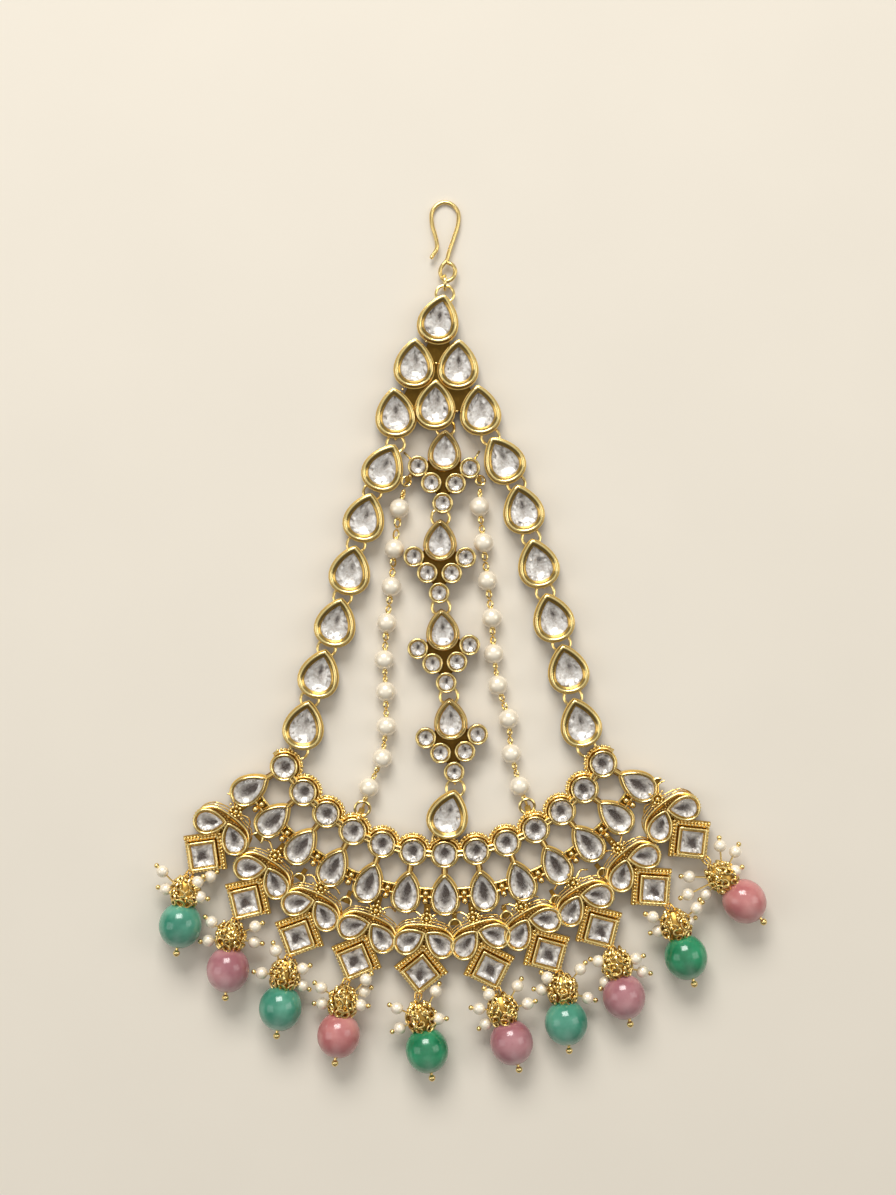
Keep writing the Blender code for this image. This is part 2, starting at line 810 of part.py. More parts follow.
def make_band(shop):
    angles = band_angles()
    back = BAND_PLATE - OVERLAP
    joined = []
    for angle in angles:
        joined.append(
            shop.round(
                "band round",
                BAND_ROUND_DIAMETER,
                BAND_RIM,
                BAND_WALL,
                band_point(angle, BAND_ROUND_RADIUS),
                -angle,
                back,
            )
        )
        joined.append(
            shop.pear(
                "band pear",
                (BAND_PEAR_WIDTH, BAND_PEAR_LENGTH),
                BAND_RIM,
                BAND_WALL,
                band_point(angle, BAND_PEAR_RADIUS),
                -angle,
                back=back,
            )
        )
    for pendant in PENDANTS:
        joined += band_edge(shop, pendant)
    for host, route in zip(STRING_HOSTS, (LEFT_PEARLS, RIGHT_PEARLS)):
        centre = band_point(angles[host], BAND_ROUND_RADIUS)
        joined += lug(shop, "band", centre, *bail_place(route[-1], string_end(route, centre))[1:])
    lasts = (LEFT_STRAND[-1], CENTRE_DROP, RIGHT_STRAND[-1])
    for angle, last in zip((angles[0], angles[BAND_SECTORS // 2], angles[-1]), lasts):
        joined += band_ring(shop, band_point(angle, BAND_ROUND_RADIUS), last)
    shop.node(band_ladder(shop), "crescent_band", "gold", joined)


def make_pendant(shop, k, pendant):
    """A plaque of two leaf settings and a square one, its ring, and the eye for the bead."""
    name = f"pendant_{k + 1}"
    along = down(pendant.plaque)
    right = Vector((-along.y, along.x, 0.0))
    rosette = rosette_place(pendant)
    tips = rosette + along * BAIL_LENGTH * TIP_SHARE
    diamond_centre = tips + along * DIAMOND_DROP
    corner = math.sqrt(2)
    diamond = plate(
        name,
        square_outline(DIAMOND_SIDE + 2 * DIAMOND_FLANGE),
        BACK,
        BACK + DIAMOND_FLANGE_HEIGHT,
        shop.helpers,
        shop.parent,
        (
            (corner * DIAMOND_FLANGE, 0.0),
            (0.0, COLLET_HEIGHT - DIAMOND_FLANGE_HEIGHT),
            (corner * DIAMOND_RIM, 0.0),
            (corner * DIAMOND_WALL, -RECESS_DEPTH),
            (corner * DIAMOND_SIDE / 12, CROWN_RISE * 0.7),
            (corner * DIAMOND_SIDE / 12, CROWN_RISE * 0.3),
        ),
    )
    set_down(diamond, diamond_centre, -pendant.plaque)
    joined = []
    for side in (-1, 1):
        centre = tips + along * LEAF_SPREAD + right * (side * LEAF_SPREAD)
        towards = -(along + right * side)
        lean = math.degrees(math.atan2(towards.x, towards.y))
        joined.append(
            shop.pear(
                f"{name} leaf", (LEAF_WIDTH, LEAF_LENGTH), LEAF_RIM, LEAF_WALL, centre, lean
            )
        )
    low = BACK + OVERLAP
    joined.append(
        shop.bar(f"{name} spine", tips, diamond_centre, LUG_WIDTH, low, low + PLATE_THICKNESS)
    )
    near = rosette + along * BAIL_LENGTH * 1.3
    joined.append(shop.bail(f"{name} bail", rosette, near, FUSED_LEVEL))
    joined.append(plaque_eye(shop, name, pendant))
    shop.node(diamond, name, "gold", joined)


def plaque_corner(pendant):
    """Lower corner of a plaque's square setting."""
    reach = BAIL_LENGTH * TIP_SHARE + DIAMOND_DROP
    reach += (DIAMOND_SIDE + 2 * DIAMOND_FLANGE) / math.sqrt(2)
    return rosette_place(pendant) + down(pendant.plaque) * reach


def plaque_eye(shop, name, pendant):
    """A flat U of wire at a plaque's lower corner, which holds the cap's upright loop."""
    along = down(pendant.plaque)
    half = (EYE_HOLE + EYE_WIRE) / 2
    side = Vector((-along.y, along.x, 0.0)) * half
    level = Vector((0.0, 0.0, EYE_LEVEL))
    root = plaque_corner(pendant) - along * half * 1.5 + level
    bar = plaque_corner(pendant) + along * (CLEARANCE + EYE_WIRE * 1.5 + CLEARANCE) + level
    points = [tuple(p) for p in (root + side, bar + side, bar - side, root - side)]
    return wire(f"{name} eye", points, EYE_WIRE, 0, shop.helpers, shop.parent)


def bead_frame(pendant):
    """Pivot of a bead in its plaque's eye, at bead height, and the way that the bead hangs."""
    start = plaque_corner(pendant) + down(pendant.plaque) * (CLEARANCE + EYE_WIRE / 2)
    start.z = BEAD_LEVEL
    return start, down(pendant.bead)


def hang(item, start, along):
    """Turns a piece made about Z, hanging down, to hang along a direction with its X upright."""
    item.location = start
    item.rotation_euler = (-along).to_track_quat("Z", "X").to_euler()
    return item


def make_bead_cap(shop, k, pendant):
    """Cap, pin and end ball turned in one, with the upright loop that links them to the plaque."""
    name = f"bead_cap_{k + 1}"
    start, along = bead_frame(pendant)
    middle = BEAD_HANG * pendant.hang
    bead_top = middle - BEAD_LENGTH / 2
    top = bead_top - CAP_LENGTH * (1 - CAP_LAP)
    profile = [(CAP_DIAMETER / 2 * r, -(top + CAP_LENGTH * d)) for r, d in CAP_PROFILE]
    pin = PIN_DIAMETER / 2
    ball = middle + BEAD_LENGTH / 2 + CLEARANCE + PIN_BALL / 2
    profile.append((pin, -(bead_top - CLEARANCE)))
    profile.append((pin, -(ball - PIN_BALL * 0.45)))
    profile.append((PIN_BALL / 2, -ball))
    profile.append((0.0, -(ball + PIN_BALL / 2)))
    cap = hang(turned(name, profile, CAP_SIDES, shop.helpers, shop.parent), start, along)
    low = EYE_LEVEL - EYE_WIRE - CLEARANCE
    crown = start + along * (top + OVERLAP * 2)
    pivot_low = Vector((start.x, start.y, low))
    flank = start + along * (top + CAP_LENGTH * 0.6)
    flank.z = low + EYE_WIRE
    points = [tuple(p) for p in (crown, start, pivot_low, flank)]
    loop = wire(f"{name} loop", points, EYE_WIRE, 0, shop.helpers, shop.parent)
    shop.node(cap, name, "gold", [loop])


def make_bead(shop, k, pendant):
    """A bored bead; its outline is an ellipse from the bore's edge round to the other."""
    name = f"bead_{k + 1}"
    start, along = bead_frame(pendant)
    bore = PIN_DIAMETER / 2 + CLEARANCE
    radius = BEAD_DIAMETER / 2
    edge = math.asin(bore / radius)
    steps = BEAD_SIDES // 2 + 1
    profile = []
    for step in range(steps + 1):
        angle = edge + (math.pi - 2 * edge) * step / steps
        profile.append((radius * math.sin(angle), BEAD_LENGTH / 2 * math.cos(angle)))
    bead = turned(name, profile, BEAD_SIDES, shop.helpers, shop.parent, closed=True)
    hang(bead, start + along * BEAD_HANG * pendant.hang, along)
    shop.node(bead, name, pendant.colour)


def outline_box(group):
    """Lowest and highest corners of the finished pieces."""
    bpy.context.view_layer.update()
    graph = bpy.context.evaluated_depsgraph_get()
    low = Vector((math.inf,) * 3)
    high = Vector((-math.inf,) * 3)
    for item in group.objects:
        if item.type != "MESH":
            continue
        evaluated = item.evaluated_get(graph)
        for vertex in evaluated.to_mesh().vertices:
            place = evaluated.matrix_world @ vertex.co
            low = Vector(map(min, low, place))
            high = Vector(map(max, high, place))
        evaluated.to_mesh_clear()
    return low, high


def set_origin(shop):
    """Moves the whole so that the origin is below the middle of its outline."""
    low, high = outline_box(shop.group)
    shop.parent.location = (-(low.x + high.x) / 2, -(low.y + high.y) / 2, -low.z)


def main():
    clear_scene()
    shop = Workshop()
    apex = [flat(place.x, place.y) for place in apex_places()]
    make_hook(shop)
    make_hook_link(shop)
    make_apex(shop)
    make_strand(shop, "left", LEFT_STRAND, apex[3])
    make_strand(shop, "right", RIGHT_STRAND, apex[5])
    make_centre_strand(shop, apex[4])
    angles = band_angles()
    routes = (LEFT_PEARLS, RIGHT_PEARLS)
    for side, route, top, host in zip(("left", "right"), routes, STRING_TOPS, STRING_HOSTS):
        centre = band_point(angles[host], BAND_ROUND_RADIUS)
        make_pearl_string(shop, side, route, top, centre)
    make_band(shop)
    for k, pendant in enumerate(PENDANTS):
        make_pendant(shop, k, pendant)
        make_bead_cap(shop, k, pendant)
        make_bead(shop, k, pendant)
    shop.solder()
    set_origin(shop)


main()
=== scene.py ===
"""Side head ornament with its finished surfaces, laid out as an add-on and run as a script.

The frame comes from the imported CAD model. Shapes are worked out in millimetres in the plane of
the ornament, from the centre of the crescent's circle: X to the right, Y towards the hook and
Z up. The last step of each piece puts it in place in the frame, in metres.
"""

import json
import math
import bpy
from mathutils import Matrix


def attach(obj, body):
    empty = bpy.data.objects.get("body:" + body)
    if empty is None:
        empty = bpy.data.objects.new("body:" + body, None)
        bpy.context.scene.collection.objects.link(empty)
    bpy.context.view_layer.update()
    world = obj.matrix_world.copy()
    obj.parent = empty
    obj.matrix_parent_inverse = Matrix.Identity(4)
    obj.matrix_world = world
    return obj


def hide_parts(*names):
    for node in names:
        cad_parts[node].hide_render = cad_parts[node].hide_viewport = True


bl_info = {
    "name": "Side head ornament",
    "version": (1, 0, 0),
    "blender": (4, 5, 0),
    "location": "3D View > Sidebar > Ornament",
    "description": "Makes the finished surfaces of a side head ornament over its CAD frame",
    "category": "Add Mesh",
}

from collections import namedtuple

import bpy
import numpy as np

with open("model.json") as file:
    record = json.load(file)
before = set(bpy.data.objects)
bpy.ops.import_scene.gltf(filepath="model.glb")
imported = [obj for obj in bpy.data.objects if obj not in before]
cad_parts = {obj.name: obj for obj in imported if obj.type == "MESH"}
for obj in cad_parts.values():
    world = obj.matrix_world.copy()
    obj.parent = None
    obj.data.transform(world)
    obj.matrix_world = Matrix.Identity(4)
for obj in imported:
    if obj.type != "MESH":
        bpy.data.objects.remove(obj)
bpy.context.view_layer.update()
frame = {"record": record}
BAND_CENTRE_MM = 37.6
CAMERA_PLACE = (0.0011, 0.0139)
CAMERA_HEIGHT = 0.4543
CAMERA_LENS = 67.8
FLOOR_REACH = 3.0
MM = 0.001

# Levels in millimetres: links, backs and tops of the settings, the band, pearls and beads
LINK_LEVEL = 1.1
BACK = 1.7
SETTING_TOP = 4.2
BAND_BACK = 1.0
BAND_TOP = 3.5
BAND_PLATE = 1.2
PEARL_LEVEL = 2.0
BEAD_LEVEL = 4.3

# Outlines of the settings in millimetres, and the rings and rails that join them
DROP_WIDTH = 7.7
DROP_LENGTH = 9.6
CLUSTER_PEAR_WIDTH = 6.4
CLUSTER_PEAR_LENGTH = 8.2
CLUSTER_ROUND = 4.2
BAND_ROUND = 5.4
BAND_PEAR_WIDTH = 5.6
BAND_PEAR_LENGTH = 8.2
LEAF_WIDTH = 5.2
LEAF_LENGTH = 6.9
SQUARE_SIDE = 5.7
BORDER_SIDE = 6.9
RING_DIAMETER = 3.6
RING_BEYOND_TIP = 0.5
STRAND_END = 5.3
RAIL_WIDTH = 2.2
RAIL_PAST_ENDS = 3.4
SPOKE_WIDTH = 1.3
SPOKE_ENDS = (36.8, 47.0)
PEAR_TIP_RADII = (39.8, 41.0, 42.2)
BAIL_REACH = 3.38
EYE_REACH = 15.6
SHOULDER_TOP = 5.25
SHOULDER_SIDE = 5.15
CAP_RADIUS = 2.85

# Places of the apex settings, the drops and the clusters, with the lean of the tip to the right
Place = namedtuple("Place", "x y lean")
APEX = (
    Place(-0.73, 69.78, 13.0),
    Place(-5.66, 60.86, 2.0),
    Place(3.12, 60.66, 2.0),
    Place(-9.43, 50.97, -5.0),
    Place(-1.50, 52.60, 2.0),
    Place(7.51, 51.54, -6.0),
)
LEFT_DROPS = (
    Place(-11.7, 40.0, 25.0),
    Place(-15.6, 30.0, 16.0),
    Place(-18.5, 19.4, 12.0),
    Place(-21.4, 8.9, 14.0),
    Place(-24.7, -1.4, 15.0),
    Place(-27.8, -11.7, 12.0),
)
RIGHT_DROPS = (
    Place(12.1, 41.6, -28.0),
    Place(16.1, 31.7, -14.0),
    Place(19.1, 20.8, -14.0),
    Place(22.1, 9.9, -16.0),
    Place(25.1, -0.4, -13.0),
    Place(27.6, -11.2, -15.0),
)
CLUSTERS = (
    Place(0.4, 43.4, 2.0),
    Place(-0.5, 25.4, 1.0),
    Place(0.0, 7.4, -4.0),
    Place(1.6, -10.5, -4.0),
)
CENTRE_DROP = Place(1.2, -29.6, 15.0)
CLUSTER_ROUNDS = ((-5.2, 3.4), (5.2, 3.4), (-2.45, 6.6), (2.45, 6.6), (0.0, 10.6))
LEFT_PEARLS = (
    (-8.7, 31.8),
    (-9.7, 23.7),
    (-10.3, 16.1),
    (-11.2, 8.8),
    (-11.7, 1.4),
    (-11.4, -5.0),
    (-11.3, -12.0),
    (-12.1, -18.4),
    (-14.8, -24.3),
)
RIGHT_PEARLS = (
    (7.4, 32.2),
    (8.2, 24.9),
    (9.0, 17.3),
    (9.9, 9.8),
    (10.3, 2.6),
    (11.1, -3.7),
    (13.3, -10.5),
    (13.8, -17.5),
    (15.5, -24.0),
)
STRING_TOPS = ((-7.3, 37.2), (7.6, 37.4))
STRING_ENDS = ((-16.1, -28.5), (17.0, -28.0))
TIE_ENDS = ((-7.4, 42.7), (7.2, 42.9))

# Crescent band: radii, pitch and first angle of its thirteen sectors
BAND_ANGLES = tuple(-57.6 + 9.7 * k for k in range(13))
ROUND_RADIUS = 37.6
PEAR_RADIUS = 45.8
ROSETTE_RADIUS = 50.6

# Small arches between the pendants, and the band rounds that hold the pearl strings
TABS = (
    (-37.3, -34.6),
    (-28.9, -42.8),
    (-19.5, -47.5),
    (2.5, -52.0),
    (12.9, -50.4),
    (22.9, -47.2),
    (32.4, -41.7),
    (43.4, -23.6),
)
STRING_HOSTS = (3, 9)

# Pendants: place on the band, swings of plaque and bead, hang of the bead and its colour
Pendant = namedtuple("Pendant", "band plaque bead hang colour")
PENDANTS = (
    Pendant(-55.0, -36.7, -7.9, 1.01, "teal"),
    Pendant(-41.6, -31.9, -5.1, 0.93, "mauve"),
    Pendant(-28.8, -25.1, -7.5, 0.96, "teal"),
    Pendant(-15.3, -22.4, -7.4, 1.03, "pink"),
    Pendant(-3.6, -6.2, 10.2, 1.06, "green"),
    Pendant(6.9, 18.5, 15.4, 1.02, "mauve"),
    Pendant(18.1, 30.0, 6.1, 0.94, "teal"),
    Pendant(31.1, 30.5, 12.8, 0.92, "mauve"),
    Pendant(44.0, 41.0, 17.3, 1.02, "green"),
    Pendant(58.4, 38.6, 43.0, 1.09, "pink"),
)
TIP_REACH = 2.7
LEAF_ALONG = 1.9
LEAF_ACROSS = 2.9
DIAMOND_REACH = 10.72
PIVOT_REACH = 16.1
BEAD_HANG = 9.7

# Hook route: across and up from the hook's foot
HOOK_FOOT = (0.5, 77.6)
HOOK_ROUTE = (
    (-2.70, 4.8),
    (-1.62, 6.7),
    (-1.94, 9.1),
    (-2.59, 11.4),
    (-2.70, 13.7),
    (-1.94, 15.1),
    (-0.65, 15.9),
    (0.65, 15.9),
    (1.94, 15.1),
    (2.70, 13.7),
    (2.59, 11.4),
    (1.73, 8.6),
    (0.86, 6.0),
    (0.32, 4.1),
    (-0.65, 2.9),
    (-0.97, 1.6),
    (-0.32, 0.3),
    (0.65, 0.0),
    (1.73, 0.8),
    (2.05, 2.1),
    (1.51, 3.2),
    (0.66, 3.62),
)


def shift():
    """The way from the crescent's centre to the frame's origin, read from the band's mount."""
    mount = next(m for m in frame["record"]["mounts"] if m["name"] == "band_back")
    x, y, _ = mount["pos_m"]
    return np.array([x, y + BAND_CENTRE_MM * MM, 0.0])


SHIFT = shift()


# Directions and turns in the plane


def up(lean):
    """Unit vector that leans to the right of straight up."""
    angle = math.radians(lean)
    return np.array([math.sin(angle), math.cos(angle), 0.0])


def down(swing):
    """Unit vector that swings to the right of straight down."""
    angle = math.radians(swing)
    return np.array([math.sin(angle), -math.cos(angle), 0.0])


def flat(x, y, z=0.0):
    return np.array([x, y, z], dtype=float)


def laid(points, place, lean):
    """Points turned in the plane so that +Y leans to the right, then moved to the place."""
    along = up(lean)
    x, y, z = points[..., 0], points[..., 1], points[..., 2]
    turned = np.stack([x * along[1] + y * along[0], y * along[1] - x * along[0], z], axis=-1)
    return turned + np.asarray(place, dtype=float)


def framed(along):
    """Two unit vectors square to a direction, and to each other."""
    along = np.asarray(along, dtype=float)
    along = along / np.linalg.norm(along)
    rest = np.array([0.0, 0.0, 1.0]) if abs(along[2]) < 0.9 else np.array([1.0, 0.0, 0.0])
    side = np.cross(rest, along)
    side /= np.linalg.norm(side)
    return side, np.cross(along, side)


def quarter_turn(way):
    """A way in the plane, turned a quarter anticlockwise."""
    return flat(-way[1], way[0])


# Outlines of the settings, each a function of how far it is drawn in


def pear(width, length, count=28):
    """A pear with its tip at +Y. Half of it runs from the tip: across = sin t (sin t/2)^0.65,
    along = cos t. Drawn in, each point moves square to the edge and the two halves meet at the
    axis; the ring is then shared out evenly along its length."""
    t = np.linspace(0.02, math.pi, 500)
    across = np.sin(t) * np.sin(t / 2) ** 0.65
    x = across / across.max() * width / 2
    y = np.cos(t) * length / 2
    dx, dy = np.gradient(x), np.gradient(y)
    size = np.hypot(dx, dy)

    def ring(inset):
        qx = x + dy / size * inset
        qy = y - dx / size * inset
        first = len(qx) - 1 - int(np.argmax(qx[:-1][::-1] <= 0)) if (qx[:-1] <= 0).any() else 0
        qx, qy = qx[first:].copy(), qy[first:]
        qx[0] = qx[-1] = 0.0
        way = np.concatenate([[0.0], np.cumsum(np.hypot(np.diff(qx), np.diff(qy)))])
        even = np.linspace(0.0, way[-1], count // 2 + 1)
        px, py = np.interp(even, way, qx), np.interp(even, way, qy)
        half = np.stack([-px, py], axis=-1)
        other = np.stack([px, py], axis=-1)[-2:0:-1]
        return np.concatenate([half, other])

    return ring


def circle(diameter, count=24):
    """A circle; drawn in, its radius falls."""
    angle = np.arange(count) * 2 * math.pi / count

    def ring(inset):
        radius = diameter / 2 - inset
        return np.stack([-np.sin(angle) * radius, np.cos(angle) * radius], axis=-1)

    return ring


def square(side, split=6):
    """A square with a corner at +Y; drawn in, its sides stay parallel."""
    corners = np.array([(0.0, 1.0), (-1.0, 0.0), (0.0, -1.0), (1.0, 0.0)])
    share = np.arange(split)[None, :, None] / split
    unit = corners[:, None] * (1 - share) + np.roll(corners, -1, axis=0)[:, None] * share
    unit = unit.reshape(-1, 2)

    def ring(inset):
        return unit * (side - 2 * inset) / math.sqrt(2)

    return ring


def rows(ring, profile):
    """A profile carried round a ring: one row of points for each (inset, height) pair."""
    return np.stack(
        [np.column_stack([ring(inset), np.full(len(ring(inset)), height)]) for inset, height in profile]
    )


class Shell:
    """Gathers grids of points, in millimetres, into one mesh with a tone for each point."""

    def __init__(self):
        self.points = []
        self.tones = []
        self.faces = {3: [], 4: []}
        self.marks = {3: [], 4: []}
        self.total = 0

    def put(self, points, tone):
        count = points.reshape(-1, 3).shape[0]
        index = self.total + np.arange(count)
        self.points.append(points.reshape(-1, 3))
        self.tones.append(np.broadcast_to(np.asarray(tone, dtype=float), (count,)))
        self.total += count
        return index

    def weave(self, corners, smooth, finish):
        corners = corners.reshape(-1, corners.shape[-1])
        self.faces[corners.shape[1]].append(corners)
        mark = np.tile([float(smooth), float(finish)], (len(corners), 1))
        self.marks[corners.shape[1]].append(mark)

    def grid(self, points, tone=0.0, first=None, last=None, smooth=True, finish=0):
        """Joins copies x rows x columns of points; first and last close the end rows to a point.
        Columns run anticlockwise about the way the rows go, which points the faces out."""
        points = np.asarray(points, dtype=float)
        if points.ndim == 3:
            points = points[None]
        copies, height, width, _ = points.shape
        tone = np.asarray(tone, dtype=float)
        if tone.ndim == 1 and tone.size == height:
            tone = np.broadcast_to(tone[None, :, None], (copies, height, width))
        elif tone.ndim:
            tone = np.broadcast_to(tone, (copies, height, width))
        index = self.put(points, tone.ravel() if tone.ndim else tone)
        index = index.reshape(copies, height, width)
        right = np.roll(index, -1, axis=2)
        corners = (index[:, :-1], right[:, :-1], right[:, 1:], index[:, 1:])
        self.weave(np.stack(corners, axis=-1), smooth, finish)
        tones = np.broadcast_to(tone, (copies, height, width))
        for end, row, order in ((first, 0, (1, 0)), (last, -1, (0, 1))):
            if end is None:
                continue
            end = np.broadcast_to(np.asarray(end, dtype=float), (copies, 3))
            tip = self.put(end, tones[:, row, 0])[:, None]
            pair = (index[:, row], right[:, row])
            tip = np.broadcast_to(tip, pair[0].shape)
            self.weave(np.stack([tip, pair[order[0]], pair[order[1]]], axis=-1), smooth, finish)

    def make(self, name, finishes, sharp=40.0):
        """Puts the gathered grids into one mesh object in the frame."""
        places = np.concatenate(self.points) * MM + SHIFT
        mesh = bpy.data.meshes.new(name)
        corners, starts, marks = [], [], []
        begun = 0
        for sides in (3, 4):
            if not self.faces[sides]:
                continue
            faces = np.concatenate(self.faces[sides])
            corners.append(faces.ravel())
            starts.append(begun + np.arange(len(faces)) * sides)
            begun += faces.size
            marks.append(np.concatenate(self.marks[sides]))
        corners = np.concatenate(corners)
        starts = np.concatenate(starts)
        marks = np.concatenate(marks)
        mesh.vertices.add(len(places))
        mesh.vertices.foreach_set("co", places.ravel())
        mesh.loops.add(len(corners))
        mesh.loops.foreach_set("vertex_index", corners.astype(np.int32))
        mesh.polygons.add(len(starts))
        mesh.polygons.foreach_set("loop_start", starts.astype(np.int32))
        mesh.update(calc_edges=True)
        tones = mesh.attributes.new("tone", "FLOAT", "POINT")
        tones.data.foreach_set("value", np.concatenate(self.tones))
        for finish in finishes:
            mesh.materials.append(bpy.data.materials[finish])
        if sharp:
            mesh.set_sharp_from_angle(angle=math.radians(sharp))
        mesh.polygons.foreach_set("use_smooth", marks[:, 0] > 0.5)
        mesh.polygons.foreach_set("material_index", marks[:, 1].astype(np.int32))
        mesh.validate()
        made = bpy.data.objects.new(name, mesh)
        bpy.context.scene.collection.objects.link(made)
        return made


def keep(shell, name, finishes, slot, *nodes, sharp=40.0):
    """Makes a piece of the gathered shell, seats it on the frame and hides the CAD nodes it replaces.
    """
    piece = shell.make(name, finishes, sharp)
    if nodes:
        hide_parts(*nodes)
    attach(piece, "root")
    return piece


# Shapes that are used again and again


def balls(shell, centres, diameters, tone=0.0, sides=8, bands=5):
    """Balls: across = cos a sin b, along = sin a sin b, height = cos b, b from pole to pole."""
    centres = np.atleast_2d(np.asarray(centres, dtype=float))
    radius = np.broadcast_to(np.asarray(diameters, dtype=float) / 2, (len(centres),))
    a = np.arange(sides) * 2 * math.pi / sides
    b = math.pi - np.arange(1, bands) * math.pi / bands
    unit = np.stack(
        [
            np.sin(b)[:, None] * np.cos(a),
            np.sin(b)[:, None] * np.sin(a),
            np.broadcast_to(np.cos(b)[:, None], (len(b), sides)),
        ],
        axis=-1,
    )
    pole = np.array([0.0, 0.0, 1.0])
    shell.grid(
        centres[:, None, None] + radius[:, None, None, None] * unit,
        tone,
        first=centres - radius[:, None] * pole,
        last=centres + radius[:, None] * pole,
    )


def smooth_route(points, steps=4, closed=False):
    """A route through its points, each stretch a cubic shaped by the four points around it."""
    p = np.asarray(points, dtype=float)
    if closed:
        before, start, end, after = (np.roll(p, k, axis=0) for k in (1, 0, -1, -2))
    else:
        full = np.concatenate([[2 * p[0] - p[1]], p, [2 * p[-1] - p[-2]]])
        before, start, end, after = full[:-3], full[1:-2], full[2:-1], full[3:]
    t = (np.arange(steps) / steps)[None, :, None]
    a, b, c, d = (v[:, None] for v in (before, start, end, after))
    curve = 0.5 * (
        2 * b + (c - a) * t + (2 * a - 5 * b + 4 * c - d) * t**2 + (3 * b - a - 3 * c + d) * t**3
    )
    curve = curve.reshape(-1, 3)
    return curve if closed else np.concatenate([curve, p[-1:]])


def wire(shell, route, diameter, tone=0.0, sides=8, closed=False, twist=0.0):
    """A round wire carried along a route: each ring lies square to the way there, turned so
    that it follows the last one. A twist gives the wire the lobes of a twisted pair."""
    p = np.asarray(route, dtype=float)
    if closed:
        way = np.roll(p, -1, axis=0) - np.roll(p, 1, axis=0)
    else:
        way = np.gradient(p, axis=0)
    way /= np.linalg.norm(way, axis=1)[:, None]
    rest = np.array([0.0, 0.0, 1.0])
    if (np.abs(way @ rest) > 0.95).any():
        rest = np.array([1.0, 0.07, 0.0])
        if (np.abs(way @ rest) > 0.95).any():
            rest = np.array([0.05, 1.0, 0.6])
            rest /= np.linalg.norm(rest)
    side = np.cross(way, rest)
    side /= np.linalg.norm(side, axis=1)[:, None]
    lift = np.cross(side, way)
    a = np.arange(sides) * 2 * math.pi / sides
    radius = np.full((len(p), sides), diameter / 2)
    if twist:
        length = np.concatenate([[0.0], np.cumsum(np.linalg.norm(np.diff(p, axis=0), axis=1))])
        turn = a[None] * 2 - length[:, None] / twist * 2 * math.pi
        radius = radius * (0.80 + 0.2 * np.cos(turn))
    ring = (
        p[:, None]
        + radius[..., None] * np.cos(a)[None, :, None] * side[:, None]
        + radius[..., None] * np.sin(a)[None, :, None] * lift[:, None]
    )
    if closed:
        ring = np.concatenate([ring, ring[:1]])
        shell.grid(ring[:, ::-1], tone)
    else:
        shell.grid(ring[:, ::-1], tone, first=p[0], last=p[-1])


def hoops(shell, centres, axes, diameters, wire_diameter, tone=0.0, sides=20, wire_sides=8):
    """Closed rings of round wire; the diameter is taken at the middle of the wire."""
    centres = np.atleast_2d(np.asarray(centres, dtype=float))
    axes = np.atleast_2d(np.asarray(axes, dtype=float))
    diameters = np.broadcast_to(np.asarray(diameters, dtype=float), (len(centres),))
    for centre, axis, diameter in zip(centres, axes, diameters):
        side, other = framed(axis)
        a = np.arange(sides) * 2 * math.pi / sides
        around = np.cos(a)[:, None] * side + np.sin(a)[:, None] * other
        wire(shell, centre + around * diameter / 2, wire_diameter, tone, wire_sides, closed=True)


def along_ring(ring, inset, spacing):
    """Evenly spaced points on a ring that is drawn in, with the ring's own length shared out."""
    loop = ring(inset)
    loop = np.concatenate([loop, loop[:1]])
    way = np.concatenate([[0.0], np.cumsum(np.hypot(*np.diff(loop, axis=0).T))])
    count = max(3, int(round(way[-1] / spacing)))
    even = np.arange(count) * way[-1] / count
    return np.column_stack([np.interp(even, way, loop[:, 0]), np.interp(even, way, loop[:, 1])])


def granules(shell, ring, inset, spacing, diameter, height, place, lean, tone=0.15):
    """A row of small balls along a ring."""
    points = along_ring(ring, inset, spacing)
    points = np.column_stack([points, np.full(len(points), height)])
    balls(shell, laid(points, place, lean), diameter, tone, sides=6, bands=4)


# Settings and stones: widths of rim and wall, depth and crown of the stone, its facets, how dark
# # the painted reflection in the middle of its silvering is, the ledge round the foot, and a second rim
# if stepped
Cut = namedtuple("Cut", "rim wall depth rise facets dark ledge stepped")
DROP_CUT = Cut(0.55, 0.62, 1.05, 0.22, 14, 0.45, 0.36, False)
CLUSTER_CUT = Cut(0.58, 0.40, 0.95, 0.20, 14, 0.42, 0.20, True)
ROUND_CUT = Cut(0.40, 0.28, 0.75, 0.18, 12, 0.62, 0.0, False)
BAND_CUT = Cut(0.36, 0.26, 0.85, 0.18, 12, 0.96, 0.36, False)
LEAF_CUT = Cut(0.42, 0.36, 0.80, 0.16, 14, 0.90, 0.10, False)
DIAMOND_CUT = Cut(0.42, 0.36, 0.85, 0.16, 12, 0.90, 0.0, False)
BORDER_CUT = Cut(0.60, 0.06, 0.0, 0.0, 0, 0.0, 0.0, False)
STONE_SEAT = 0.42
FOIL_GAP = 0.14


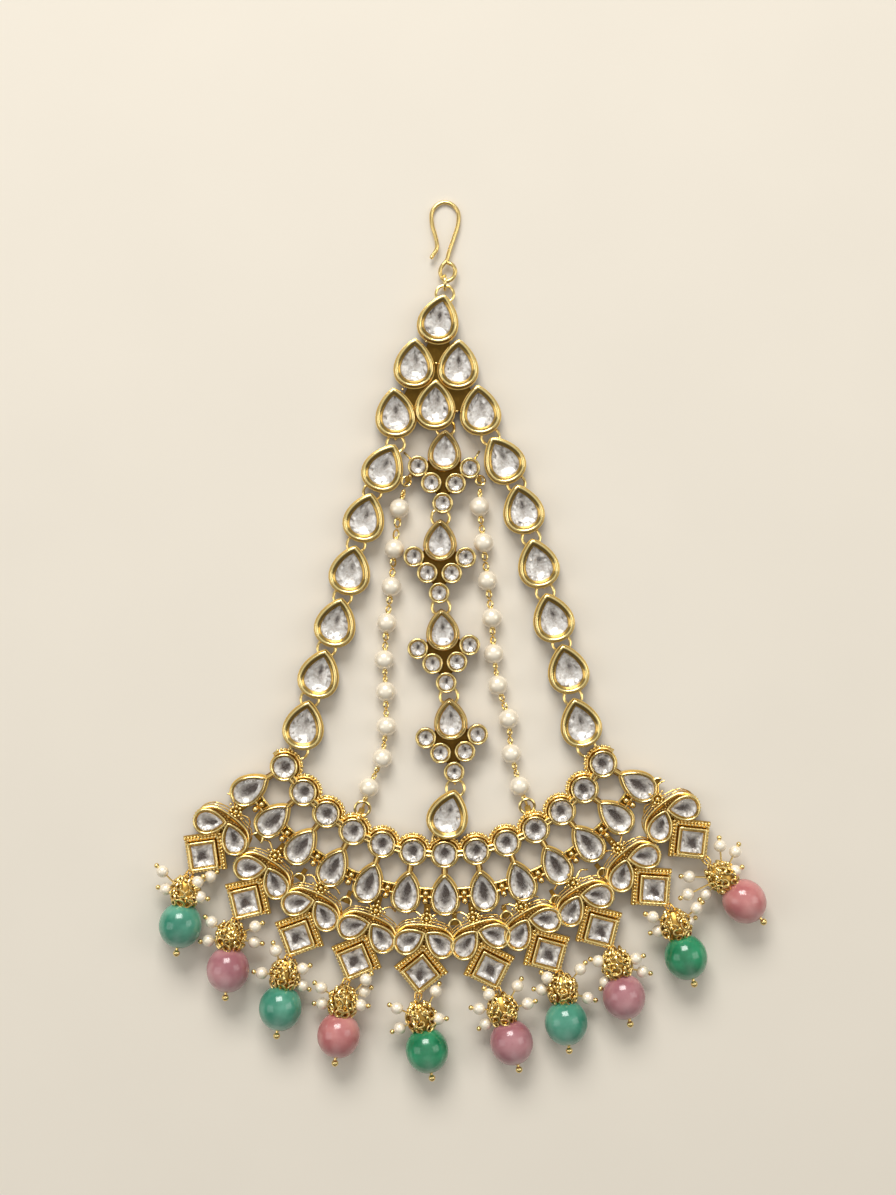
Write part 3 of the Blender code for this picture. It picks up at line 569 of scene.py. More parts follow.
def collet(shell, ring, place, lean, cut, low, high, floor, shade=0.0):
    """A setting's wall and floor: up its outer side from the ledge at its foot, over a rounded rim,
    and down inside to the floor. A stepped one has a lower rim round the main one. Its tones paint
    light
    and shade: a pale highlight on the ledge and the rims, shade at the foot and low on the outer wall,
    and deepening shade down the inner wall to the floor; shade adds painted shade to all of it."""
    outer = [(0.08 - cut.ledge, low), (-cut.ledge, low + 0.08), (-cut.ledge, low + 0.42)]
    outer += [(0.06 - cut.ledge, low + 0.55), (-0.02, low + 0.62), (0.0, low + 0.70)]
    # Painted light and shade: dark foot, pale ledge, darker low on the wall, pale rim, shade deepening
    # down inside
    tones = [0.9, 0.6, 0.20, 0.10, 0.75, 0.80]
    inner = 0.0
    if cut.stepped:
        inner = cut.rim * 0.48
        outer += [(0.0, high - 0.50), (0.06, high - 0.40), (inner * 0.7, high - 0.40)]
        outer += [(inner, high - 0.52)]
        tones += [0.40, 0.05, 0.10, 0.80]
    width = cut.rim - inner
    outer += [(inner, high - 0.26), (inner + 0.02, high - 0.12), (inner + 0.10, high - 0.03)]
    outer += [(inner + width * 0.5, high), (inner + width * 0.8, high - 0.04)]
    outer += [(cut.rim, high - 0.13), (cut.rim + cut.wall * 0.6, high - STONE_SEAT)]
    outer += [(cut.rim + cut.wall, high - STONE_SEAT - 0.12), (cut.rim + cut.wall + 0.05, floor)]
    tones += [0.35, 0.10, 0.0, 0.0, 0.0, 0.12, 0.42, 0.66, 1.0]
    body = laid(rows(ring, outer), place, lean)
    ends = laid(np.array([[0.0, 0.0, low], [0.0, 0.0, floor]]), place, lean)
    shell.grid(body, np.array(tones) + shade, first=ends[0], last=ends[1])


def foil(shell, ring, place, lean, inset, high, cut, reach, seed):
    """The silvered back of a stone: two rows of small uneven facets round its edge, then a smooth
    hollow, parabola-like, to the middle. Its tones paint its reflections: random glints on the edge
    facets, dark in the middle and towards the tip, and a soft dark streak above the middle: exp(-x^2 -
    y^2) about a place that differs from stone to stone."""
    rng = np.random.default_rng(seed)

    def row(share, fall, uneven):
        loop = ring(inset + share * reach)
        drop = cut.depth * fall + rng.uniform(-uneven, uneven, len(loop)) * cut.depth
        return np.column_stack([loop, high - drop])

    half = ring(inset)[:, 1].max()
    edge = np.stack([row(0.0, 0.0, 0.0), row(0.18, 0.40, 0.14), row(0.38, 0.68, 0.14)])
    # Random pale and dark tones on the edge facets: painted glints and reflections
    tone = 0.95 * rng.uniform(0.0, 1.0, edge.shape[:2]) ** 2.6
    tone[0] += 0.15
    shell.grid(laid(edge, place, lean), tone[None], smooth=False, finish=1)
    shares = np.array([0.0, 0.20, 0.45, 0.68, 0.86])
    hollow = np.stack([row(0.38 + 0.58 * k, 0.70 + 0.30 * (1 - (1 - k) ** 2), 0.0) for k in shares])
    hollow[0] = edge[2]
    # Painted reflections in the hollow: dark in the middle, darker towards the tip, and a dark streak
    # above the middle
    across = (hollow[..., 0] / half - rng.uniform(0.0, 0.18)) / 0.17
    tilt = hollow[..., 1] / half
    streak = np.exp(-(across**2) - ((tilt - rng.uniform(0.18, 0.36)) / 0.30) ** 2)
    tone = cut.dark * (1 - 0.55 * (1 - shares[:, None]) ** 2) + 0.20 * np.clip(tilt, -0.6, 1.0)
    tone = tone + 0.75 * streak * (0.5 + 0.5 * shares[:, None])
    tone = tone + rng.uniform(-0.09, 0.09, hollow.shape[:2])
    bottom = laid(np.array([0.0, 0.0, high - cut.depth]), place, lean)
    shell.grid(laid(hollow, place, lean), np.clip(tone, 0, 1)[None], last=bottom, finish=1)


def glass(shell, ring, place, lean, inset, high, rise, reach, facets):
    """A cut stone: its girdle, a ring of crown facets and a flat table, closed below."""
    step = max(1, len(ring(0.0)) // facets)

    def loop(part, height, turn):
        points = np.roll(ring(inset + part * reach), -turn, axis=0)[::step]
        return np.column_stack([points, np.full(len(points), height)])

    body = np.stack(
        [
            loop(0.0, high - 0.12, 0),
            loop(0.02, high, 0),
            loop(0.20, high + rise * 0.7, step // 2),
            loop(0.42, high + rise, 0),
        ]
    )
    top = laid(np.array([0.0, 0.0, high + rise]), place, lean)
    bottom = laid(np.array([0.0, 0.0, high - 0.12]), place, lean)
    shell.grid(laid(body, place, lean), 0.0, first=bottom, last=top, smooth=False)


def set_stone(metal, stones, ring, size, place, lean, cut, low=BACK, high=SETTING_TOP):
    """One stone in its setting, with the silvered hollow behind it."""
    seat = high - STONE_SEAT
    inset = cut.rim + cut.wall * 0.75
    reach = size / 2 - inset
    floor = seat - FOIL_GAP - cut.depth - 0.2
    seed = int(abs(place[0] * 731 + place[1] * 397) * 10)
    collet(metal, ring, place, lean, cut, low, high, floor)
    foil(metal, ring, place, lean, inset, seat - FOIL_GAP, cut, reach, seed)
    glass(stones, ring, place, lean, inset - 0.02, seat, cut.rise, reach, cut.facets)


def staple(shell, at, along):
    """Two posts below a back and the bar between them, which holds a ring's wire."""
    step = along / np.linalg.norm(along) * 0.85
    high, low = flat(0, 0, BACK + 0.2), flat(0, 0, 0.25)
    wire(shell, [at - step + high, at - step + low], 0.5, 0.4, sides=6)
    wire(shell, [at + step + high, at + step + low], 0.5, 0.4, sides=6)
    wire(shell, [at - step + low, at + step + low], 0.5, 0.4, sides=6)


def tip_ring(shell, centre, towards):
    """The ring soldered behind a tip: it lies in its host's staple and rises to the tip."""
    way = towards / np.linalg.norm(towards) * RING_DIAMETER - flat(0, 0, 0.5)
    across = np.cross(flat(0, 0, 1), way)
    middle = centre + flat(0, 0, 1.35)
    hoops(shell, middle, np.cross(way, across), RING_DIAMETER, 0.6, 0.12, 28)


def plate(shell, corners, low, high, tone):
    """A flat plate of any convex outline, given anticlockwise."""
    loop = np.asarray(corners, dtype=float)
    middle = loop.mean(axis=0)
    body = np.stack([np.column_stack([loop, np.full(len(loop), z)]) for z in (low, high)])
    shell.grid(body, tone, first=np.append(middle, low), last=np.append(middle, high), smooth=False)


def bar(shell, start, end, width, low, high, tone):
    """A flat bar between two places."""
    way = np.asarray(end[:2], dtype=float) - np.asarray(start[:2], dtype=float)
    way /= np.linalg.norm(way)
    side = np.array([way[1], -way[0]]) * width / 2
    a, b = np.asarray(start[:2], dtype=float), np.asarray(end[:2], dtype=float)
    plate(shell, [a + side, b + side, b - side, a - side], low, high, tone)


def tip_centre(place, length=DROP_LENGTH):
    """Middle of the ring behind a pear's tip."""
    return flat(place.x, place.y) + up(place.lean) * (length / 2 + RING_BEYOND_TIP)


def staple_point(ring_centre, host):
    """Where a ring meets its host's staple, and the way there."""
    towards = (host - ring_centre) / np.linalg.norm(host - ring_centre)
    return ring_centre + towards * RING_DIAMETER / 2, towards


# Materials, with the colour sockets of the mix node, which shares its names among kinds
MIX_FIRST = 6
MIX_SECOND = 7
MIX_RESULT = 2


def new_material(name):
    made = bpy.data.materials.new(name)
    made.use_nodes = True
    tree = made.node_tree
    return made, tree, tree.nodes["Principled BSDF"]


def point_tone(tree):
    """The tone that each point of a mesh carries."""
    made = tree.nodes.new("ShaderNodeAttribute")
    made.attribute_name = "tone"
    return made.outputs["Fac"]


def ramp(tree, stops, source):
    """A colour ramp with the given (position, colour) stops."""
    made = tree.nodes.new("ShaderNodeValToRGB")
    band = made.color_ramp
    while len(band.elements) < len(stops):
        band.elements.new(0.5)
    for element, (position, colour) in zip(band.elements, stops):
        element.position = position
        element.color = (*colour, 1.0)
    tree.links.new(source, made.inputs["Fac"])
    return made.outputs["Color"]


def linear(colour):
    """A display colour, 0 to 255, as linear light."""
    c = np.asarray(colour, dtype=float) / 255
    return tuple(float(v) for v in np.where(c <= 0.04045, c / 12.92, ((c + 0.055) / 1.055) ** 2.4))


def noise(tree, coordinates, scale, detail=2.0):
    made = tree.nodes.new("ShaderNodeTexNoise")
    made.inputs["Scale"].default_value = scale
    made.inputs["Detail"].default_value = detail
    tree.links.new(coordinates, made.inputs["Vector"])
    return made.outputs["Fac"]


def mix(tree, factor, first, second):
    made = tree.nodes.new("ShaderNodeMix")
    made.data_type = "RGBA"
    tree.links.new(factor, made.inputs["Factor"])
    for value, socket in ((first, made.inputs[MIX_FIRST]), (second, made.inputs[MIX_SECOND])):
        if isinstance(value, bpy.types.NodeSocket):
            tree.links.new(value, socket)
        else:
            socket.default_value = (*value, 1.0)
    return made.outputs[MIX_RESULT]


def maths(tree, operation, *values):
    made = tree.nodes.new("ShaderNodeMath")
    made.operation = operation
    for socket, value in zip(made.inputs, values):
        if isinstance(value, bpy.types.NodeSocket):
            tree.links.new(value, socket)
        else:
            socket.default_value = value
    return made.outputs[0]


def bump(tree, shader, height, strength, distance):
    made = tree.nodes.new("ShaderNodeBump")
    made.inputs["Strength"].default_value = strength
    made.inputs["Distance"].default_value = distance
    tree.links.new(height, made.inputs["Height"])
    tree.links.new(made.outputs["Normal"], shader.inputs["Normal"])


def gold_material(name, rim, body, shade, rough):
    """Plated gold with painted light and shade: pale and bright as a painted highlight where the tone
    is 0, olive and dull as painted shade where it is 1, with fine unevenness in its colour, gloss and
    surface."""
    made, tree, shader = new_material(name)
    coordinates = tree.nodes.new("ShaderNodeTexCoord").outputs["Object"]
    tone = point_tone(tree)
    patch = noise(tree, coordinates, 900.0, 3.0)
    fine = noise(tree, coordinates, 5200.0, 2.0)
    uneven = maths(tree, "MULTIPLY_ADD", patch, 0.30, -0.15)
    level = maths(tree, "ADD", tone, uneven)
    # deep: the darkest painted shade, for the deepest recesses
    deep = tuple(0.42 * value for value in shade)
    colour = ramp(tree, ((0.0, rim), (0.35, body), (0.75, shade), (1.0, deep)), level)
    tree.links.new(colour, shader.inputs["Base Color"])
    gloss = maths(tree, "MULTIPLY_ADD", level, 0.24, rough)
    tree.links.new(gloss, shader.inputs["Roughness"])
    shader.inputs["Metallic"].default_value = 1.0
    height = maths(tree, "MULTIPLY_ADD", fine, 0.5, patch)
    bump(tree, shader, height, 0.25, 0.00006)
    return made


def foil_material(name, bright, grey, dark, rough):
    """Silvering whose colour paints its reflections: white where the tone is 0, through grey to a
    dark brown grey at 1, in flecks that are strong where it is bright and faint where it is dark."""
    made, tree, shader = new_material(name)
    coordinates = tree.nodes.new("ShaderNodeTexCoord").outputs["Object"]
    tone = point_tone(tree)
    fleck = tree.nodes.new("ShaderNodeTexVoronoi")
    fleck.inputs["Scale"].default_value = 2400.0
    tree.links.new(coordinates, fleck.inputs["Vector"])
    cell = tree.nodes.new("ShaderNodeSeparateColor")
    tree.links.new(fleck.outputs["Color"], cell.inputs["Color"])
    calm = maths(tree, "MAXIMUM", maths(tree, "MULTIPLY_ADD", tone, -1.3, 1.0), 0.25)
    shift_up = maths(tree, "MULTIPLY", maths(tree, "SUBTRACT", cell.outputs[0], 0.45), calm)
    level = maths(tree, "MULTIPLY_ADD", shift_up, 0.62, tone)
    colour = ramp(tree, ((0.08, bright), (0.50, grey), (0.95, dark)), level)
    tree.links.new(colour, shader.inputs["Base Color"])
    shader.inputs["Metallic"].default_value = 0.45
    shader.inputs["Roughness"].default_value = rough
    bump(tree, shader, fleck.outputs["Distance"], 0.35, 0.00008)
    return made


def glass_material(name, colour):
    made, tree, shader = new_material(name)
    coordinates = tree.nodes.new("ShaderNodeTexCoord").outputs["Object"]
    cloud = noise(tree, coordinates, 700.0, 2.0)
    tint = mix(tree, cloud, tuple(0.93 * c for c in colour), colour)
    tree.links.new(tint, shader.inputs["Base Color"])
    shader.inputs["Transmission Weight"].default_value = 1.0
    shader.inputs["Alpha"].default_value = 0.46
    shader.inputs["Roughness"].default_value = 0.02
    shader.inputs["IOR"].default_value = 1.48
    return made


def pearl_material(name, colour, shade):
    made, tree, shader = new_material(name)
    coordinates = tree.nodes.new("ShaderNodeTexCoord").outputs["Object"]
    cloud = noise(tree, coordinates, 420.0, 3.0)
    grain = noise(tree, coordinates, 4200.0, 2.0)
    tree.links.new(mix(tree, cloud, shade, colour), shader.inputs["Base Color"])
    shader.inputs["Metallic"].default_value = 0.20
    shader.inputs["Roughness"].default_value = 0.24
    shader.inputs["Coat Weight"].default_value = 0.8
    shader.inputs["Coat Roughness"].default_value = 0.10
    shader.inputs["Coat Tint"].default_value = (1.0, 0.97, 0.92, 1.0)
    shader.inputs["Sheen Weight"].default_value = 0.15
    bump(tree, shader, grain, 0.12, 0.00005)
    return made


def bead_material(name, colour, deep):
    """Cloudy stone glass: soft veins of a deeper colour under a polished face."""
    made, tree, shader = new_material(name)
    coordinates = tree.nodes.new("ShaderNodeTexCoord").outputs["Object"]
    tone = point_tone(tree)
    vein = noise(tree, coordinates, 190.0, 4.0)
    cloud = ramp(tree, ((0.35, deep), (0.65, colour)), vein)
    light = tuple(0.55 * value + 0.45 for value in colour)
    inner = mix(tree, maths(tree, "MULTIPLY", tone, 0.42), cloud, light)
    tree.links.new(inner, shader.inputs["Base Color"])
    shader.inputs["Roughness"].default_value = 0.16
    shader.inputs["Subsurface Weight"].default_value = 0.55
    shader.inputs["Subsurface Radius"].default_value = (0.003, 0.003, 0.003)
    shader.inputs["Subsurface Scale"].default_value = 0.5
    shader.inputs["Coat Weight"].default_value = 0.35
    shader.inputs["Coat Roughness"].default_value = 0.08
    return made


def floor_material(name, colour):
    made, tree, shader = new_material(name)
    coordinates = tree.nodes.new("ShaderNodeTexCoord").outputs["Object"]
    cloud = noise(tree, coordinates, 30.0, 3.0)
    tint = mix(tree, cloud, tuple(0.95 * c for c in colour), colour)
    tree.links.new(tint, shader.inputs["Base Color"])
    shader.inputs["Roughness"].default_value = 0.75
    return made


METAL = ("worked_gold", "foil")


class OrnamentSizes(bpy.types.PropertyGroup):
    """Sizes of the small work that scene pieces add."""

    hook_wire: bpy.props.FloatProperty(
        name="Hook wire", description="Diameter of the hook's wire", default=0.00082, unit="LENGTH"
    )
    pearl: bpy.props.FloatProperty(
        name="Pearl", description="Diameter of a strung pearl", default=0.0040, unit="LENGTH"
    )
    pin_pearl: bpy.props.FloatProperty(
        name="Pin pearl",
        description="Diameter of a pearl on a head pin",
        default=0.0025,
        unit="LENGTH",
    )
    granule: bpy.props.FloatProperty(
        name="Granule", description="Diameter of a border's granule", default=0.0006, unit="LENGTH"
    )
    bead_width: bpy.props.FloatProperty(
        name="Bead width", description="Width of a hanging bead", default=0.0086, unit="LENGTH"
    )
    bead_length: bpy.props.FloatProperty(
        name="Bead length", description="Length of a hanging bead", default=0.0092, unit="LENGTH"
    )


class OrnamentColours(bpy.types.PropertyGroup):
    """Colours of the finishes, in linear light."""

    # The rim colour is partly the paler polish of the edges and partly a painted highlight; the shade
    # colour is painted shade for the recesses
    gold_rim_highlight: bpy.props.FloatVectorProperty(
        name="Gold rim", description="Polished edges", default=linear((250, 226, 156)),
        subtype="COLOR", min=0.0, max=1.0,
    )
    gold_body: bpy.props.FloatVectorProperty(
        name="Gold body", description="Plain faces of the metal", default=linear((228, 188, 102)),
        subtype="COLOR", min=0.0, max=1.0,
    )
    gold_shade: bpy.props.FloatVectorProperty(
        name="Gold shade", description="Recesses of the metal", default=linear((150, 113, 48)),
        subtype="COLOR", min=0.0, max=1.0,
    )
    pearl: bpy.props.FloatVectorProperty(
        name="Pearl", description="Body of the pearls", default=linear((255, 250, 238)),
        subtype="COLOR", min=0.0, max=1.0,
    )
    floor: bpy.props.FloatVectorProperty(
        name="Floor", description="Plain pale floor", default=linear((226, 219, 206)),
        subtype="COLOR", min=0.0, max=1.0,
    )


BEAD_COLOURS = {
    "teal": ((98, 166, 142), (52, 130, 106)),
    "green": ((58, 156, 112), (18, 112, 72)),
    "mauve": ((192, 142, 146), (160, 102, 110)),
    "pink": ((206, 144, 140), (178, 106, 106)),
}


class ORNAMENT_OT_finishes(bpy.types.Operator):
    """Make the gold, foil, glass, pearl and bead finishes"""

    bl_idname = "ornament.finishes"
    bl_label = "Finishes"

    def execute(self, context):
        colours = context.scene.ornament_colours
        gold = (tuple(colours.gold_rim_highlight), tuple(colours.gold_body), tuple(colours.gold_shade))
        gold_material("worked_gold", *gold, 0.17)
        # The foil's white, grey and dark brown grey paint the reflections in the stones
        foil_material(
            "foil", linear((255, 254, 250)), linear((212, 206, 197)), linear((84, 72, 64)), 0.18
        )
        glass_material("clear_glass", (0.98, 0.97, 0.98))
        pearl_material("pearl_lustre", tuple(colours.pearl), linear((240, 229, 206)))
        for name, (colour, deep) in BEAD_COLOURS.items():
            bead_material("bead_" + name, linear(colour), linear(deep))
        floor_material("pale_floor", tuple(colours.floor))
        return {"FINISHED"}


class ORNAMENT_OT_hook(bpy.types.Operator):
    """Make the wire hook and the link below it"""

    bl_idname = "ornament.hook"
    bl_label = "Hook"

    def execute(self, context):
        sizes = context.scene.ornament_sizes
        route = []
        for across, along in HOOK_ROUTE:
            share = max(0.0, (along - 3.2) / 12.7)
            route.append((HOOK_FOOT[0] + across, HOOK_FOOT[1] + along, 1.38 - 0.95 * share))
        shell = Shell()
        path = smooth_route(route, 6)
        wire(shell, path, sizes.hook_wire / MM, 0.12, sides=12)
        balls(shell, [path[0], path[-1]], sizes.hook_wire / MM * 1.02, 0.12, 12, 8)
        keep(shell, "hook_wire", METAL[:1], "gold", "hook")
        shell = Shell()
        hoops(shell, flat(0.48, 77.18, 1.65), flat(1, 0, 0), 2.8, 0.70, 0.0, 32, 10)
        keep(shell, "hook_link_ring", METAL[:1], "gold", "hook_link")
        return {"FINISHED"}


class ORNAMENT_OT_apex(bpy.types.Operator):
    """Make the six settings of the apex on their backing"""

    bl_idname = "ornament.apex"
    bl_label = "Apex"

    def execute(self, context):
        metal, stones = Shell(), Shell()
        ring = pear(DROP_WIDTH, DROP_LENGTH)
        for place in APEX:
            set_stone(metal, stones, ring, DROP_WIDTH, flat(place.x, place.y), place.lean, DROP_CUT)
        corners = [(APEX[k].x, APEX[k].y) for k in (0, 3, 5)]
        # The backing plate is painted darkest, as the shade in the gaps between the settings
        plate(metal, corners, BACK + 0.05, BACK + 0.5, 1.0)
        tip_ring(metal, tip_centre(APEX[0]), up(0.0))
        hosts = (APEX[3], APEX[4], APEX[5])
        hung = (
            (LEFT_DROPS[0], DROP_LENGTH),
            (CLUSTERS[0], CLUSTER_PEAR_LENGTH),
            (RIGHT_DROPS[0], DROP_LENGTH),
        )
        for host, (place, length) in zip(hosts, hung):
            at, along = staple_point(tip_centre(place, length), flat(host.x, host.y))
            staple(metal, at, along)
        dots = [(-1.26, 60.8), (-8.0, 55.6), (2.9, 51.2), (-3.26, 65.2)]
        balls(metal, [flat(x, y, 3.4) for x, y in dots], 0.6, 0.0, 10, 7)
        keep(metal, "apex_metal", METAL, "gold", "apex_cluster")
        keep(stones, "apex_stones", ("clear_glass",), "stone")
        return {"FINISHED"}


def make_drop(name, place, host, next_ring):
    """One pear drop with its ring and staple, and its stone."""
    metal, stones = Shell(), Shell()
    here = flat(place.x, place.y)
    ring = pear(DROP_WIDTH, DROP_LENGTH)
    set_stone(metal, stones, ring, DROP_WIDTH, here, place.lean, DROP_CUT)
    centre = tip_centre(place)
    tip_ring(metal, centre, host - centre)
    at, along = staple_point(next_ring, here)
    staple(metal, at, along)
    keep(metal, name + "_metal", METAL, "gold", name)
    keep(stones, name + "_stone", ("clear_glass",), "stone")


def strand_end(place):
    """Middle of the ring below a last drop."""
    return flat(place.x, place.y) - up(place.lean) * STRAND_END


class ORNAMENT_OT_strands(bpy.types.Operator):
    """Make the pear drops of the two strands and the last drop of the centre strand"""

    bl_idname = "ornament.strands"
    bl_label = "Strands"

    def execute(self, context):
        for side, route, top in (("left", LEFT_DROPS, APEX[3]), ("right", RIGHT_DROPS, APEX[5])):
            rings = [tip_centre(place) for place in route] + [strand_end(route[-1])]
            host = flat(top.x, top.y)
            for k, place in enumerate(route):
                make_drop(f"{side}_drop_{k + 1}", place, host, rings[k + 1])
                host = flat(place.x, place.y)
        last = cluster_points(CLUSTERS[-1])[4]
        make_drop("centre_drop", CENTRE_DROP, last, strand_end(CENTRE_DROP))
        return {"FINISHED"}


def cluster_points(place):
    """Middles of a cluster's five rounds, from the two outer ones to the lowest."""
    tip = up(place.lean)
    right = flat(tip[1], -tip[0])
    return [flat(place.x, place.y) + right * x - tip * y for x, y in CLUSTER_ROUNDS]


class ORNAMENT_OT_clusters(bpy.types.Operator):
    """Make the four clusters of the centre strand"""

    bl_idname = "ornament.clusters"
    bl_label = "Centre clusters"

    def execute(self, context):
        host = flat(APEX[4].x, APEX[4].y)
        tips = [tip_centre(place, CLUSTER_PEAR_LENGTH) for place in CLUSTERS]
        tips.append(tip_centre(CENTRE_DROP))
        for k, place in enumerate(CLUSTERS):
            metal, stones = Shell(), Shell()
            here = flat(place.x, place.y)
            ring = pear(CLUSTER_PEAR_WIDTH, CLUSTER_PEAR_LENGTH)
            set_stone(
                metal, stones, ring, CLUSTER_PEAR_WIDTH, here, place.lean, CLUSTER_CUT
            )
            points = cluster_points(place)
            ring = circle(CLUSTER_ROUND)
            for at in points:
                set_stone(metal, stones, ring, CLUSTER_ROUND, at, place.lean, ROUND_CUT)
            corners = [p[:2] for p in (here, points[0], points[4], points[1])]
            # The backing plate is painted darkest, as the shade in the gaps between the settings
            plate(metal, corners, BACK + 0.05, BACK + 0.5, 1.0)
            centre = tips[k]
            tip_ring(metal, centre, host - centre)
            at, along = staple_point(tips[k + 1], points[4])
            staple(metal, at, along)
            if k == 0:
                self.ties(metal, points)
            name = f"centre_cluster_{k + 1}"
            keep(metal, name + "_metal", METAL, "gold", name)
            keep(stones, name + "_stones", ("clear_glass",), "stone")
            host = points[4]
        return {"FINISHED"}

    def ties(self, shell, points):
        """The loops that hold the pearl strings, and short ties towards the strands."""
        for top, host, end in zip(STRING_TOPS, points, TIE_ENDS):
            # The low bar is painted darker, as shade
            bar(shell, host, flat(*top), 1.0, BACK + 0.05, BACK + 0.5, 0.7)
            lug = flat(*top) + (host - flat(*top)) * 0.36
            balls(shell, lug + flat(0, 0, 2.6), 1.1, 0.05, 12, 8)
            hoops(shell, flat(*top, 1.9), flat(0.25, 0.1, 1), 1.9, 0.42, 0.1, 20)
            staple(shell, flat(*top), host - flat(*top))
            way = flat(*end) - host
            steps = ((0.55, 2.6), (0.62, 3.2), (0.85, 3.4), (1.1, 2.8))
            path = [host + way * share + flat(0, 0, level) for share, level in steps]
            wire(shell, smooth_route(path, 5), 0.5, 0.05, 8)


class ORNAMENT_OT_pearls(bpy.types.Operator):
    """Make the two strings of pearls with their looped links"""

    bl_idname = "ornament.pearls"
    bl_label = "Pearl strings"

    def execute(self, context):
        size = context.scene.ornament_sizes.pearl / MM
        for side, route, top, end in (
            ("left", LEFT_PEARLS, STRING_TOPS[0], STRING_ENDS[0]),
            ("right", RIGHT_PEARLS, STRING_TOPS[1], STRING_ENDS[1]),
        ):
            pearls = np.array([(x, y, PEARL_LEVEL) for x, y in route])
            shell = Shell()
            balls(shell, pearls, size, 0.0, 28, 18)
            keep(shell, f"{side}_pearls", ("pearl_lustre",), "pearl", f"{side}_pearl_string")
            shell = Shell()
            stations = np.concatenate([[flat(*top, 1.6)], pearls, [flat(*end, 1.6)]])
            for a, b in zip(stations, stations[1:]):
                way = (b - a) / np.linalg.norm(b - a)
                side_way, _ = framed(way)
                from_a = a + way * (size / 2 if a is not stations[0] else 0.4)
                to_b = b - way * (size / 2 if b is not stations[-1] else 0.4)
                middle = (from_a + to_b) / 2
                gap = np.linalg.norm(to_b - from_a)
                loop = max(1.2, gap * 0.52)
                for sign in (-1, 1):
                    centre = middle + way * sign * (gap / 2 - loop * 0.42)
                    a_way = np.linspace(0, 2 * math.pi, 16, endpoint=False)
                    tilt = side_way * 0.62 + flat(0, 0, 0.78 * sign)
                    path = centre + (
                        np.cos(a_way)[:, None] * way * loop * 0.42
                        + np.sin(a_way)[:, None] * tilt * loop * 0.40
                    )
                    wire(shell, path, 0.42, 0.05, 8, closed=True)
                balls(shell, [from_a, to_b], 0.9, 0.15, 10, 7)
            keep(shell, f"{side}_pearl_links", METAL[:1], "gold")
        return {"FINISHED"}


def band_point(angle, radius, z=0.0):
    return down(angle) * radius + flat(0, 0, z)


def band_arc(radius, first, last, count, z):
    angles = np.radians(np.linspace(first, last, count))
    return np.column_stack([np.sin(angles) * radius, -np.cos(angles) * radius, np.full(count, z)])


